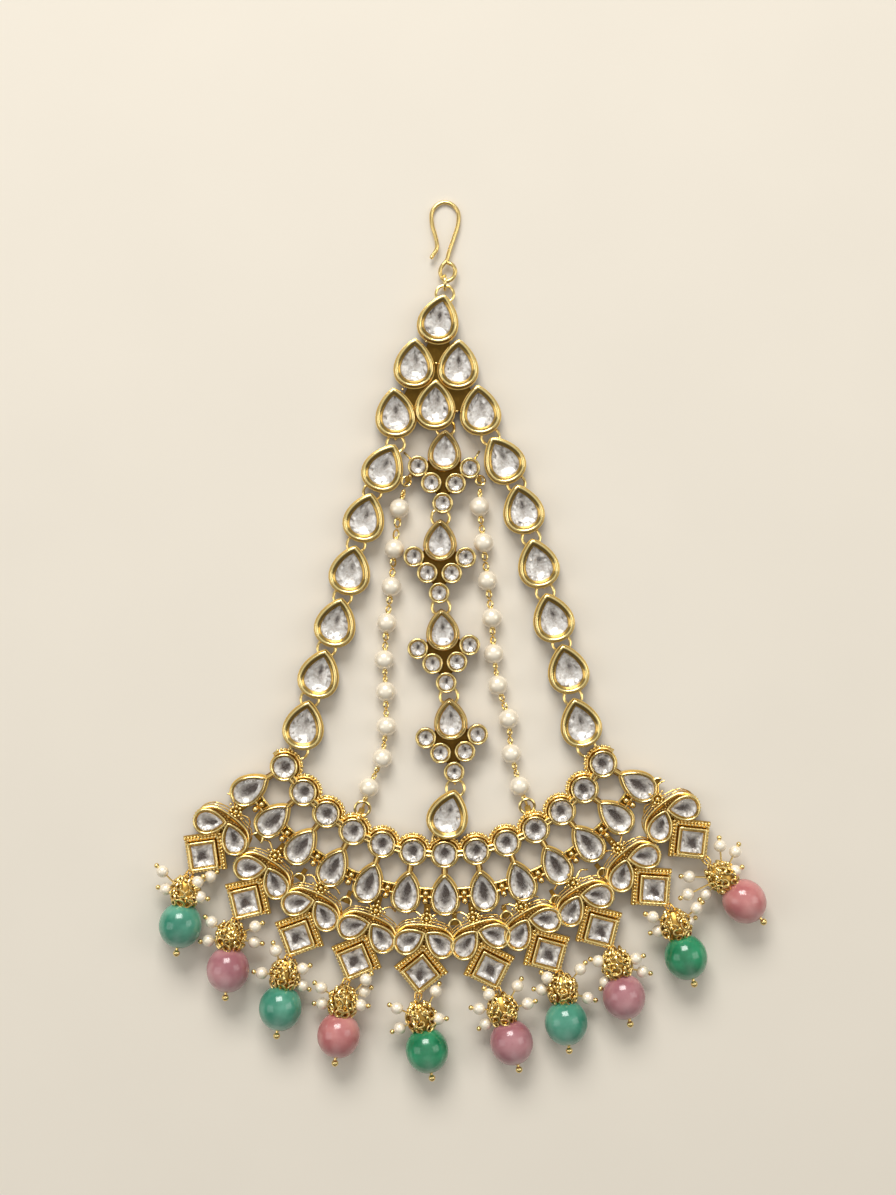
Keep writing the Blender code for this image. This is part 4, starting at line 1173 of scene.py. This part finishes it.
class ORNAMENT_OT_band(bpy.types.Operator):
    """Make the pierced crescent band with its rounds, pears, gallery and rosettes"""

    bl_idname = "ornament.band"
    bl_label = "Crescent band"

    def execute(self, context):
        metal, stones = Shell(), Shell()
        settings = (
            (circle(BAND_ROUND), BAND_ROUND, ROUND_RADIUS),
            (pear(BAND_PEAR_WIDTH, BAND_PEAR_LENGTH), BAND_PEAR_WIDTH, PEAR_RADIUS),
        )
        for angle in BAND_ANGLES:
            for ring, size, radius in settings:
                here = band_point(angle, radius)
                set_stone(
                    metal, stones, ring, size, here, -angle, BAND_CUT, BAND_BACK, BAND_TOP
                )
        first, last = BAND_ANGLES[0] - RAIL_PAST_ENDS, BAND_ANGLES[-1] + RAIL_PAST_ENDS
        for radius in (ROUND_RADIUS, PEAR_RADIUS):
            inner = band_arc(radius - RAIL_WIDTH / 2, first, last, 90, 0.0)
            outer = band_arc(radius + RAIL_WIDTH / 2, first, last, 90, 0.0)
            top = flat(0, 0, BAND_PLATE)
            loop = np.stack([outer, inner, inner + top, outer + top])
            # The rails are painted darkest, as the shade of recesses in the band
            self.rail(metal, loop)
        for left, right in zip(BAND_ANGLES, BAND_ANGLES[1:]):
            self.bridge(metal, (left + right) / 2)
        for angle in BAND_ANGLES:
            start, end = (band_point(angle, radius) for radius in SPOKE_ENDS)
            # The spokes are painted dark, as the shade of recesses in the band
            bar(metal, start, end, SPOKE_WIDTH, 0.02, BAND_PLATE - 0.02, 0.8)
            tips = [band_point(angle, radius, 2.5) for radius in PEAR_TIP_RADII]
            wire(metal, tips, 0.9, 0.25, 10)
            self.gallery(metal, angle)
        self.rosettes(metal)
        self.hangers(metal)
        self.tabs(metal)
        keep(metal, "crescent_band_metal", METAL, "gold", "crescent_band")
        keep(stones, "crescent_band_stones", ("clear_glass",), "stone")
        return {"FINISHED"}

    def hangers(self, shell):
        """The rings that hold the strands and the pearl strings, on arms from their rounds."""
        lasts = (LEFT_DROPS[-1], CENTRE_DROP, RIGHT_DROPS[-1])
        for angle, last in zip((BAND_ANGLES[0], BAND_ANGLES[6], BAND_ANGLES[-1]), lasts):
            host = band_point(angle, ROUND_RADIUS)
            centre = strand_end(last)
            at, _ = staple_point(centre, host)
            tip_ring(shell, centre, flat(last.x, last.y) - centre)
            # The arms are painted darker, as shade low behind the band
            bar(shell, host, at, 1.3, 0.6, 1.75, 0.6)
        for k, end in zip(STRING_HOSTS, STRING_ENDS):
            host = band_point(BAND_ANGLES[k], ROUND_RADIUS)
            at = flat(*end)
            bar(shell, host, at, 1.2, 1.1, 1.75, 0.6)
            staple(shell, at, host - at)
            hoops(shell, at + flat(0, 0, 2.3), flat(0.1, -0.2, 1), 3.0, 0.6, 0.08, 24)
            balls(shell, at + (host - at) * 0.42 + flat(0, 0, 2.5), 1.2, 0.05, 12, 8)

    def tabs(self, shell):
        """Small arches between neighbouring pendants, each a hoop round a middle painted dark as shade.
        """
        for x, y in TABS:
            at = flat(x, y)
            out = at / np.linalg.norm(at)
            side = quarter_turn(out)
            ring = np.radians(np.linspace(0, 180, 11))
            arch = at + 1.15 * (np.cos(ring)[:, None] * side - np.sin(ring)[:, None] * out * 1.1)
            wire(shell, arch + flat(0, 0, 2.3), 0.5, 0.1, 8)
            # The plate in the middle and the bar behind are painted dark, as shade
            plate(shell, (arch[:, :2] if self.turns_left(arch) else arch[::-1, :2]), 1.6, 1.9, 0.9)
            root = out * (np.linalg.norm(at) - 2.6)
            bar(shell, root, at, 0.9, 1.2, 2.0, 0.8)

    def turns_left(self, path):
        """Whether a path in the plane turns anticlockwise."""
        a, b = path[1] - path[0], path[-1] - path[0]
        return a[0] * b[1] - a[1] * b[0] > 0

    def rail(self, shell, loop):
        """A flat rail: its four edges as rows, closed round its section."""
        section = np.swapaxes(loop, 0, 1)
        start, end = section[0].mean(axis=0), section[-1].mean(axis=0)
        # Painted darkest, as shade in the band's recesses
        shell.grid(section, 1.0, first=start, last=end, smooth=False)

    def bridge(self, shell, middle):
        """Balls and a short bar between two pears."""
        balls(shell, band_point(middle, 45.6, 2.8), 1.25, 0.05, 14, 9)
        balls(shell, band_point(middle, 47.2, 2.7), 1.30, 0.05, 14, 9)
        for radius, half, level, size in (
            (44.7, 1.7, 2.3, 0.55),
            (46.4, 1.5, 2.1, 0.55),
            (37.2, 1.2, 2.7, 0.75),
            (38.1, 1.3, 2.4, 0.65),
        ):
            a, b = band_point(middle - half, radius, level), band_point(middle + half, radius, level)
            wire(shell, [a, (a + b) / 2, b], size, 0.12, 8)

    def gallery(self, shell, angle):
        """The scalloped wall with a row of granules behind the inner half of a round."""
        here = band_point(angle, ROUND_RADIUS)
        turn = np.radians(np.linspace(-100, 100, 21))
        inward = -down(angle)
        side = quarter_turn(inward)
        for radius, level, width in ((3.40, 1.5, 0.60), (3.10, 2.2, 0.60)):
            arc = here + radius * (
                np.cos(turn)[:, None] * inward + np.sin(turn)[:, None] * side
            )
            wire(shell, arc + flat(0, 0, level), width, 0.15, 8, twist=0.8)
        turn = np.radians(np.linspace(-80, 80, 14))
        dots = here + 3.60 * (np.cos(turn)[:, None] * inward + np.sin(turn)[:, None] * side)
        balls(shell, dots + flat(0, 0, 2.3), 0.66, 0.0, 8, 6)

    def rosettes(self, shell):
        """A small flower of granules at each pendant, with curled wires out to its sides."""
        for pendant in PENDANTS:
            centre = band_point(pendant.band, ROSETTE_RADIUS, 2.9)
            out = down(pendant.band)
            side = quarter_turn(out)
            turn = np.radians(np.arange(8) * 45.0)
            ring = np.cos(turn)[:, None] * side + np.sin(turn)[:, None] * out
            balls(shell, centre + ring * 1.0, 0.72, 0.0, 10, 7)
            balls(shell, centre + flat(0, 0, 0.25), 0.95, 0.0, 12, 8)
            balls(shell, centre + ring[::2] * 1.8 - flat(0, 0, 0.1), 0.65, 0.05, 8, 6)
            start = band_point(pendant.band, PEAR_RADIUS + 2.0, 1.9)
            # The bar behind the rosette is painted dark, as shade
            bar(shell, start, centre + out * 1.1, 1.3, 1.1, 1.8, 0.8)
            staple(shell, flat(*centre[:2]), down(pendant.plaque))
            for sign in (-1, 1):
                path = [
                    centre + side * sign * 0.9 - out * 0.3 - flat(0, 0, 0.4),
                    centre + side * sign * 2.6 - out * 1.2 - flat(0, 0, 0.9),
                    centre + side * sign * 3.9 - out * 0.6 - flat(0, 0, 1.1),
                ]
                wire(shell, smooth_route(path, 6), 0.46, 0.25, 8, twist=0.7)


def pendant_frame(pendant):
    """A pendant's rosette, the way it hangs, and the way to its right."""
    rosette = band_point(pendant.band, ROSETTE_RADIUS)
    along = down(pendant.plaque)
    return rosette, along, quarter_turn(along)


class ORNAMENT_OT_pendants(bpy.types.Operator):
    """Make the plaques of the ten pendants"""

    bl_idname = "ornament.pendants"
    bl_label = "Pendant plaques"

    def execute(self, context):
        granule = context.scene.ornament_sizes.granule / MM
        for k, pendant in enumerate(PENDANTS):
            metal, stones = Shell(), Shell()
            rosette, along, right = pendant_frame(pendant)
            tips = rosette + along * TIP_REACH
            centre = rosette + along * DIAMOND_REACH
            lean = 180.0 - pendant.plaque
            seat = centre + along * 0.22
            set_stone(metal, stones, square(SQUARE_SIDE), SQUARE_SIDE, seat, lean, DIAMOND_CUT)
            border = square(BORDER_SIDE)
            # The border is painted darker, as shade between its granules
            collet(metal, border, centre, lean, BORDER_CUT, BACK, BACK + 1.2, BACK + 1.0, 0.30)
            granules(metal, border, 0.22, granule * 1.15, granule * 1.02, 3.15, centre, lean, 0.0)
            self.shoulders(metal, centre, along, right, granule)
            leaf = pear(LEAF_WIDTH, LEAF_LENGTH)
            for side in (-1, 1):
                at = tips + along * LEAF_ALONG + right * side * LEAF_ACROSS
                towards = -(along * LEAF_ALONG + right * side * LEAF_ACROSS)
                turn = math.degrees(math.atan2(towards[0], towards[1]))
                set_stone(metal, stones, leaf, LEAF_WIDTH, at, turn, LEAF_CUT)
                granules(metal, leaf, -0.10, 0.62, 0.46, BACK + 0.5, at, turn, 0.2)
            self.arcs(metal, rosette, along, right)
            # The bar behind the plaque is painted darkest, as shade
            bar(metal, tips, centre, 2.6, BACK + 0.1, BACK + 0.5, 1.0)
            self.bail(metal, rosette, along, right)
            self.eye(metal, rosette, along, right)
            name = f"pendant_{k + 1}"
            keep(metal, name + "_metal", METAL, "gold", name)
            keep(stones, name + "_stones", ("clear_glass",), "stone")
        return {"FINISHED"}

    def shoulders(self, shell, centre, along, right, granule):
        """Rows of granules outside the two upper sides of the square, towards the leaves."""
        top = centre - along * SHOULDER_TOP
        for side in (-1, 1):
            corner = centre + right * side * SHOULDER_SIDE - along * 0.1
            share = np.linspace(0.02, 0.97, 11)[:, None]
            row = top + (corner - top) * share
            balls(shell, row + flat(0, 0, 3.0), granule * 1.05, 0.0, 8, 6)
            # The bar under the granules is painted darker, as shade between them
            bar(shell, top, corner, 0.95, BACK, BACK + 1.1, 0.60)

    def arcs(self, shell, rosette, along, right):
        """A plate behind the leaves with a bold wire round its domed edge, and finer wires
        above it that run out from the rosette."""

        def place(across, fall, level):
            return rosette + right * across + along * fall + flat(0, 0, level)

        half = ((2.2, 1.35), (4.0, 1.75), (5.3, 2.8), (6.0, 4.1), (6.1, 5.2))
        points = [(-x, y) for x, y in half[::-1]] + [(0.0, 1.25)] + list(half)
        # The lower wire is painted darker than the upper one, as shade
        for level, size, tone, draw in ((3.4, 0.48, 0.12, 0.0), (2.6, 0.36, 0.65, 0.44)):
            route = [place(x * (1 - draw / 9), y + draw, level) for x, y in points]
            wire(shell, smooth_route(route, 5), size, tone, 8)
        edge = [place(x, y, 0.0)[:2] for x, y in [*points, (3.2, 6.0), (-3.2, 6.0)]]
        # The plate behind is painted dark, as the shade in the gaps of the dome
        plate(shell, edge[::-1], BACK + 0.02, BACK + 0.45, 0.85)
        for rise, level, size, tone in ((0.55, 2.6, 0.36, 0.15), (1.05, 2.2, 0.34, 0.30)):
            for side in (-1, 1):
                path = [place(side * 0.8, 1.25 - rise, level)]
                for (x, y), fade in zip(half, (1.0, 0.85, 0.5, 0.1)):
                    way = flat(x, y - 4.6)
                    way = way * (1 + rise * fade / np.linalg.norm(way))
                    path.append(place(side * way[0], way[1] + 4.6, level))
                wire(shell, smooth_route(path, 5), size, tone, 7, twist=0.6)

    def bail(self, shell, rosette, along, right):
        """A U of wire below the rosette, open towards the plaque."""
        near = rosette + along * BAIL_REACH
        path = [
            near + right + flat(0, 0, 1.6),
            rosette + right + flat(0, 0, LINK_LEVEL),
            rosette - right + flat(0, 0, LINK_LEVEL),
            near - right + flat(0, 0, 1.6),
        ]
        for a, b in zip(path, path[1:]):
            wire(shell, [a, b], 0.6, 0.2, 8)
        balls(shell, path[1:3], 0.6, 0.2, 8, 6)

    def eye(self, shell, rosette, along, right):
        """A small loop of wire at the square's lower corner."""
        corner = rosette + along * EYE_REACH + flat(0, 0, 2.15)
        path = [
            corner - along * 0.9 + right * 0.6,
            corner + along * 0.8 + right * 0.6,
            corner + along * 1.2,
            corner + along * 0.8 - right * 0.6,
            corner - along * 0.9 - right * 0.6,
        ]
        wire(shell, smooth_route(path, 4), 0.4, 0.2, 8)


def bead_frame(pendant):
    """Where a bead's pin hangs from, and the way it hangs."""
    start = band_point(pendant.band, ROSETTE_RADIUS) + down(pendant.plaque) * PIVOT_REACH
    start[2] = BEAD_LEVEL
    return start, down(pendant.bead)


class ORNAMENT_OT_beads(bpy.types.Operator):
    """Make the ten beads with their filigree caps and end balls"""

    bl_idname = "ornament.beads"
    bl_label = "Beads and caps"

    def execute(self, context):
        sizes = context.scene.ornament_sizes
        width, length = sizes.bead_width / MM, sizes.bead_length / MM
        for k, pendant in enumerate(PENDANTS):
            start, along = bead_frame(pendant)
            middle = BEAD_HANG * pendant.hang
            self.bead(k, start + along * middle, along, width, length, pendant.colour)
            self.cap(k, start, along, middle - length / 2, middle + length / 2)
        return {"FINISHED"}

    def bead(self, k, centre, along, width, length, colour):
        """A bead, an ellipse turned about the way it hangs. Its tone is the light inside: a glow
        away from the window, and the bore, exp(-x^2) across, in its lower half."""
        shell = Shell()
        side, other = framed(along)
        b = np.linspace(0.085, math.pi - 0.085, 33)
        a = np.arange(48) * 2 * math.pi / 48
        round_way = np.cos(a)[:, None] * side + np.sin(a)[:, None] * other
        body = (
            centre
            + (np.sin(b) * width / 2)[:, None, None] * round_way
            - (np.cos(b) * length / 2)[:, None, None] * along
        )
        ends = centre - along * length / 2, centre + along * length / 2
        reach = (body - centre) / (width / 2)
        across = reach @ np.cross(along, flat(0, 0, 1))
        bore = np.exp(-((across / 0.20) ** 2)) * np.clip(reach @ along * 1.6, 0, 1)
        glow = np.clip(-reach[..., 1] * 0.9, 0, 1)
        shell.grid(body, (0.45 * bore + 0.55 * glow)[None], first=ends[0], last=ends[1])
        keep(shell, f"bead_{k + 1}_stone", ("bead_" + colour,), colour, f"bead_{k + 1}", sharp=0)

    def cap(self, k, start, along, bead_top, bead_end):
        """A tangle of curled wires and granules round a core painted dark as the shade between them, a
        pin and its end ball.
        """
        shell = Shell()
        side, other = framed(along)
        top, low = bead_top - 5.0, bead_top + 0.35
        rng = np.random.default_rng(40 + k)

        def dome(share, turn, grow=1.0):
            """A place on the dome: its radius swells as the sine of a share of the way down."""
            swell = np.sin((0.14 + 0.62 * np.clip(share, 0, 1.1)) * math.pi) ** 0.7
            way = np.cos(turn)[..., None] * side + np.sin(turn)[..., None] * other
            reach = CAP_RADIUS * grow * swell[..., None]
            return start + way * reach + (top + share * (low - top))[..., None] * along

        share = np.linspace(0.02, 1.0, 9)[:, None] * np.ones(16)
        turn = np.ones((9, 1)) * np.arange(16) * 2 * math.pi / 16
        core = dome(share, turn, 0.84)
        # The core is painted dark, as the shade between the curls
        shell.grid(core, 0.60, first=start + along * top, last=start + along * (low - 0.5))
        around = np.linspace(0, 2 * math.pi, 16, endpoint=False)
        for level, count in ((0.10, 5), (0.30, 6), (0.52, 7), (0.74, 7), (0.93, 8)):
            for n in range(count):
                mid_turn = (n + rng.uniform(-0.25, 0.25)) * 2 * math.pi / count + level * 7
                mid = level + rng.uniform(-0.04, 0.04)
                size = rng.uniform(0.75, 1.10)
                lean = rng.uniform(0.0, 3.1)
                a = np.cos(around) * math.cos(lean) - np.sin(around) * math.sin(lean) * 0.7
                b = np.cos(around) * math.sin(lean) + np.sin(around) * math.cos(lean) * 0.7
                swell = 1.0 + 0.10 * np.sin(around + rng.uniform(0, 6.28))
                loop = dome(mid + 0.17 * size * b, mid_turn + size * a / 2.7, swell[:, None])
                wire(shell, loop, 0.44, 0.10, 7, closed=True)
        turn = rng.uniform(0, 2 * math.pi, 44)
        level = rng.uniform(0.0, 0.75, 44)
        balls(shell, dome(level, turn, 1.0), rng.uniform(0.6, 0.95, 44), 0.08, 8, 6)
        wire(shell, [start + along * (bead_end - 0.2), start + along * (bead_end + 0.9)], 0.55, 0.2)
        balls(shell, start + along * (bead_end + 1.05), 1.4, 0.05, 14, 9)
        loop = [
            start + along * (top + 0.4),
            start - along * 0.3 - flat(0, 0, 0.9),
            start - flat(0, 0, 2.75),
            start + along * 0.9 - flat(0, 0, 2.2),
            start + along * (top + 1.0) - flat(0, 0, 0.9),
        ]
        wire(shell, smooth_route(loop, 5), 0.4, 0.15, 8)
        keep(shell, f"bead_cap_{k + 1}_filigree", METAL[:1], "gold", f"bead_cap_{k + 1}")


# Places of the small pearls on head pins about each cap
PIN_PEARLS = (
    ((-55.9, -40.8), (-55.4, -44.5), (-48.9, -42.9), (-46.5, -42.0), (-48.4, -45.9)),
    ((-46.1, -50.9), (-46.9, -54.8), (-37.4, -51.8), (-37.7, -55.1)),
    ((-33.3, -56.6), (-36.2, -61.3), (-27.9, -60.2), (-28.1, -63.8)),
    ((-24.2, -64.0), (-24.1, -67.4), (-15.3, -62.4), (-15.7, -65.0), (-16.4, -67.5)),
    ((-9.1, -68.1), (-8.6, -72.4), (-0.8, -70.2), (-1.4, -64.9)),
    ((7.3, -68.2), (8.6, -71.5), (9.3, -65.4), (15.0, -63.9), (17.0, -67.2)),
    ((20.9, -62.0), (19.9, -64.6), (27.5, -60.3), (29.1, -66.3)),
    ((31.1, -58.7), (32.6, -63.1), (38.6, -58.2), (40.1, -61.0)),
    ((42.0, -49.9), (43.2, -52.9), (50.7, -48.1), (49.2, -50.9)),
    (
        (55.4, -35.7),
        (58.6, -37.0),
        (58.4, -40.7),
        (49.4, -42.0),
        (49.0, -45.4),
        (52.7, -45.5),
    ),
)


class ORNAMENT_OT_pin_pearls(bpy.types.Operator):
    """Make the small pearls on head pins round each cap"""

    bl_idname = "ornament.pin_pearls"
    bl_label = "Pin pearls"

    def execute(self, context):
        size = context.scene.ornament_sizes.pin_pearl / MM
        for k, (pendant, places) in enumerate(zip(PENDANTS, PIN_PEARLS)):
            start, along = bead_frame(pendant)
            pearls, pins = Shell(), Shell()
            root = start + along * (BEAD_HANG * pendant.hang - 6.4)
            for n, (x, y) in enumerate(places):
                level = 3.6 if n % 2 else 4.9
                at = flat(x, y, level)
                way = at - root
                way /= np.linalg.norm(way)
                balls(pearls, at, size, 0.0, 16, 10)
                wire(pins, [root + way * 1.5, at + way * (size / 2 + 0.4)], 0.36, 0.15, 6)
                balls(pins, at + way * (size / 2 + 0.4), 1.05, 0.05, 10, 7)
            keep(pearls, f"pin_pearls_{k + 1}", ("pearl_lustre",), "pearl")
            keep(pins, f"head_pins_{k + 1}", METAL[:1], "gold")
        return {"FINISHED"}


class ORNAMENT_OT_stage(bpy.types.Operator):
    """Make the pale floor, the soft lights and the camera above"""

    bl_idname = "ornament.stage"
    bl_label = "Stage"

    def execute(self, context):
        scene = context.scene
        mesh = bpy.data.meshes.new("pale_floor")
        far = FLOOR_REACH
        corners = [(-far, -far, 0), (far, -far, 0), (far, far, 0), (-far, far, 0)]
        mesh.from_pydata(corners, [], [(0, 1, 2, 3)])
        mesh.materials.append(bpy.data.materials["pale_floor"])
        floor = bpy.data.objects.new("pale_floor", mesh)
        scene.collection.objects.link(floor)
        self.light(scene, "window", (-0.12, 0.80, 0.70), 0.60, 0.45, 9.5, (1.0, 0.98, 0.95))
        self.light(scene, "side_fill", (0.75, 0.15, 0.60), 0.45, 0.60, 1.5, (1.0, 0.97, 0.92))
        self.light(scene, "low_fill", (-0.75, -0.05, 0.55), 0.45, 0.60, 1.2, (1.0, 0.98, 0.96))
        self.sky(scene)
        camera = bpy.data.cameras.new("camera")
        camera.lens = CAMERA_LENS
        camera.sensor_fit = "VERTICAL"
        camera.sensor_height = 36.0
        camera.clip_start = 0.01
        eye = bpy.data.objects.new("camera", camera)
        scene.collection.objects.link(eye)
        x, y = CAMERA_PLACE
        eye.location = (SHIFT[0] + x, SHIFT[1] + y, CAMERA_HEIGHT)
        scene.camera = eye
        return {"FINISHED"}

    def light(self, scene, name, place, width, height, power, colour):
        data = bpy.data.lights.new(name, "AREA")
        data.shape = "RECTANGLE"
        data.size = width
        data.size_y = height
        data.energy = power
        data.color = colour
        lamp = bpy.data.objects.new(name, data)
        scene.collection.objects.link(lamp)
        lamp.location = place
        way = -np.asarray(place)
        pitch = math.atan2(math.hypot(way[0], way[1]), -way[2])
        lamp.rotation_euler = (pitch, 0.0, math.atan2(-way[0], way[1]))

    def sky(self, scene):
        """Soft light: a pale ceiling, dim walls, and more light towards the top of the picture."""
        world = bpy.data.worlds.new("studio")
        world.use_nodes = True
        tree = world.node_tree
        back = tree.nodes["Background"]
        way = tree.nodes.new("ShaderNodeTexCoord").outputs["Generated"]
        parts = tree.nodes.new("ShaderNodeSeparateXYZ")
        tree.links.new(way, parts.inputs[0])
        share = maths(tree, "MULTIPLY_ADD", parts.outputs[1], 0.30, parts.outputs[2])
        shades = (
            (0.0, (0.10, 0.09, 0.08)),
            (0.45, (0.19, 0.18, 0.16)),
            (0.80, (0.62, 0.61, 0.58)),
            (1.0, (0.95, 0.94, 0.92)),
        )
        tree.links.new(ramp(tree, shades, share), back.inputs["Color"])
        back.inputs["Strength"].default_value = 0.80
        scene.world = world
        scene.view_settings.view_transform = "Standard"


class ORNAMENT_PT_panel(bpy.types.Panel):
    """Lists the ornament's pieces, sizes and colours"""

    bl_idname = "ORNAMENT_PT_panel"
    bl_label = "Side head ornament"
    bl_space_type = "VIEW_3D"
    bl_region_type = "UI"
    bl_category = "Ornament"

    def draw(self, context):
        layout = self.layout
        for group in (context.scene.ornament_sizes, context.scene.ornament_colours):
            for name in group.bl_rna.properties.keys():
                if name not in {"rna_type", "name"}:
                    layout.prop(group, name)
        for operator in OPERATORS:
            layout.operator(operator.bl_idname)


OPERATORS = (
    ORNAMENT_OT_finishes,
    ORNAMENT_OT_hook,
    ORNAMENT_OT_apex,
    ORNAMENT_OT_strands,
    ORNAMENT_OT_clusters,
    ORNAMENT_OT_pearls,
    ORNAMENT_OT_band,
    ORNAMENT_OT_pendants,
    ORNAMENT_OT_beads,
    ORNAMENT_OT_pin_pearls,
    ORNAMENT_OT_stage,
)
CLASSES = (OrnamentSizes, OrnamentColours, *OPERATORS, ORNAMENT_PT_panel)


def register():
    for item in CLASSES:
        bpy.utils.register_class(item)
    bpy.types.Scene.ornament_sizes = bpy.props.PointerProperty(type=OrnamentSizes)
    bpy.types.Scene.ornament_colours = bpy.props.PointerProperty(type=OrnamentColours)


def unregister():
    del bpy.types.Scene.ornament_colours
    del bpy.types.Scene.ornament_sizes
    for item in reversed(CLASSES):
        bpy.utils.unregister_class(item)


def main():
    register()
    bpy.ops.ornament.finishes()
    bpy.ops.ornament.stage()
    bpy.ops.ornament.hook()
    bpy.ops.ornament.apex()
    bpy.ops.ornament.strands()
    bpy.ops.ornament.clusters()
    bpy.ops.ornament.pearls()
    bpy.ops.ornament.band()
    bpy.ops.ornament.pendants()
    bpy.ops.ornament.beads()
    bpy.ops.ornament.pin_pearls()


if __name__ == "__main__":
    main()
